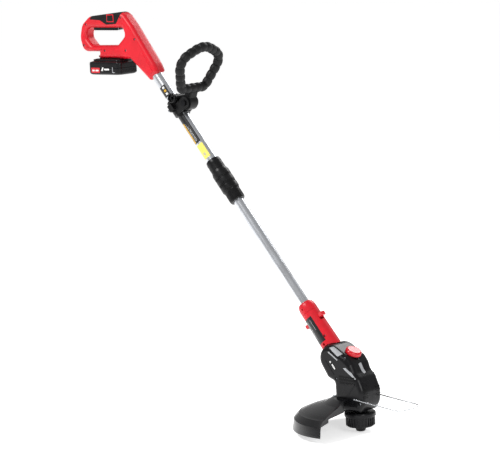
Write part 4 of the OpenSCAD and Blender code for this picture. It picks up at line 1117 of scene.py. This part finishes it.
# %% Tree for a coil spring
coil_tree, given = new_tree("coil_spring", [("Turns", "NodeSocketFloat"), ("Radius", "NodeSocketFloat"),
                                            ("Height", "NodeSocketFloat"), ("Wire", "NodeSocketFloat"),
                                            ("Finish", "NodeSocketMaterial")])
spiral = add(coil_tree, "GeometryNodeCurveSpiral", {"Resolution": 24, "Rotations": given["Turns"],
                                                    "Start Radius": given["Radius"], "End Radius": given["Radius"],
                                                    "Height": given["Height"]})
round_wire = add(coil_tree, "GeometryNodeCurvePrimitiveCircle", {"Resolution": 8, "Radius": given["Wire"]})
coil = add(coil_tree, "GeometryNodeCurveToMesh", {"Curve": spiral.outputs[0], "Fill Caps": True,
                                                  "Profile Curve": round_wire.outputs[0]})
finish_tree(coil_tree, coil.outputs[0], given["Finish"])


def spring(node, where, turns, r, wire):
    """Coil spring in the room of a CAD node, standing along the frame's Z."""
    inverse = where.inverted()
    zs = [(inverse @ v.co).z for v in frame["nodes"][node].data.vertices]
    low_z, high_z = min(zs) + wire, max(zs) - wire
    mesh = grow(coil_tree, {"Turns": float(turns), "Radius": r, "Height": high_z - low_z, "Wire": wire,
                            "Finish": zinc})
    centre_x = [(inverse @ v.co).x for v in frame["nodes"][node].data.vertices]
    mesh.transform(Matrix.Translation(((min(centre_x) + max(centre_x)) / 2, 0, low_z)))
    return piece(node + "_coil", mesh, where, body_of[node], None, [node], sharp=60)


spring("trigger_spring", level, 6, 3.6, 0.35)
spring("release_spring", shaft(0), 4, 17.1, 0.7)
spring("pedal_spring", pedal_frame(), 3, 6.05, 0.4)
spring("bump_spring", upright, 3, 5.35, 0.4)

# %% [markdown]
# ## Studio
# A plain pale floor, one large soft light from above and the left, a weaker one from the right, and a bright even
# surround. The camera stands low to the right of the machine, a long way off with a long lens.

# %% Floor and lights
floor = loose(box((-40, 40), (-40, 40), (-0.02, -0.0005)), "floor")
floor_look = bpy.data.materials.new("floor_white_matt")
floor_look.use_nodes = True
floor_look.node_tree.nodes["Principled BSDF"].inputs["Base Color"].default_value = linear("F4F4F4")
floor_look.node_tree.nodes["Principled BSDF"].inputs["Roughness"].default_value = 0.9
floor_look.node_tree.nodes["Principled BSDF"].inputs["Emission Color"].default_value = linear("FFFFFF")
floor_look.node_tree.nodes["Principled BSDF"].inputs["Emission Strength"].default_value = 0.62
floor.data.materials.append(floor_look)
world = bpy.data.worlds.new("studio")
bpy.context.scene.world = world
world.use_nodes = True
world.node_tree.nodes["Background"].inputs[0].default_value = linear("FFFFFF")
world.node_tree.nodes["Background"].inputs[1].default_value = 0.42
bpy.context.scene.view_settings.view_transform = "Standard"


def soft_light(name, place, aim, size, power):
    lamp = bpy.data.lights.new(name, "AREA")
    lamp.shape, lamp.size, lamp.energy = "DISK", size, power
    thing = bpy.data.objects.new(name, lamp)
    thing.location = place
    thing.rotation_mode = "QUATERNION"
    thing.rotation_quaternion = (Vector(aim) - Vector(place)).to_track_quat("-Z", "Y")
    bpy.context.scene.collection.objects.link(thing)


soft_light("key", (-1.2, -2.2, 3.0), (-0.3, 0, 0.5), 1.1, 80)
soft_light("fill", (2.6, -1.4, 1.6), (-0.3, 0, 0.5), 1.2, 30)
soft_light("back", (-0.6, 2.6, 2.4), (-0.3, 0, 0.6), 1.6, 40)

# %% Camera
azimuth, elevation, roll = math.radians(42), math.radians(8), math.radians(3)
aim = Vector((-0.3164, 0, 0.4721))
distance = 6
flat_out = math.cos(elevation)
out = Vector((math.sin(azimuth) * flat_out, -math.cos(azimuth) * flat_out, math.sin(elevation)))
right = Vector((math.cos(azimuth), math.sin(azimuth), 0))
above = out.cross(right)
cam_x = right * math.cos(roll) - above * math.sin(roll)
cam_y = right * math.sin(roll) + above * math.cos(roll)
camera = bpy.data.objects.new("camera", bpy.data.cameras.new("camera"))
camera.data.lens, camera.data.sensor_width = 179.3, 36
camera.data.clip_end = 50
camera.matrix_world = Matrix((cam_x, cam_y, out)).transposed().to_4x4()
camera.location = aim + out * distance
bpy.context.scene.collection.objects.link(camera)
bpy.context.scene.camera = camera
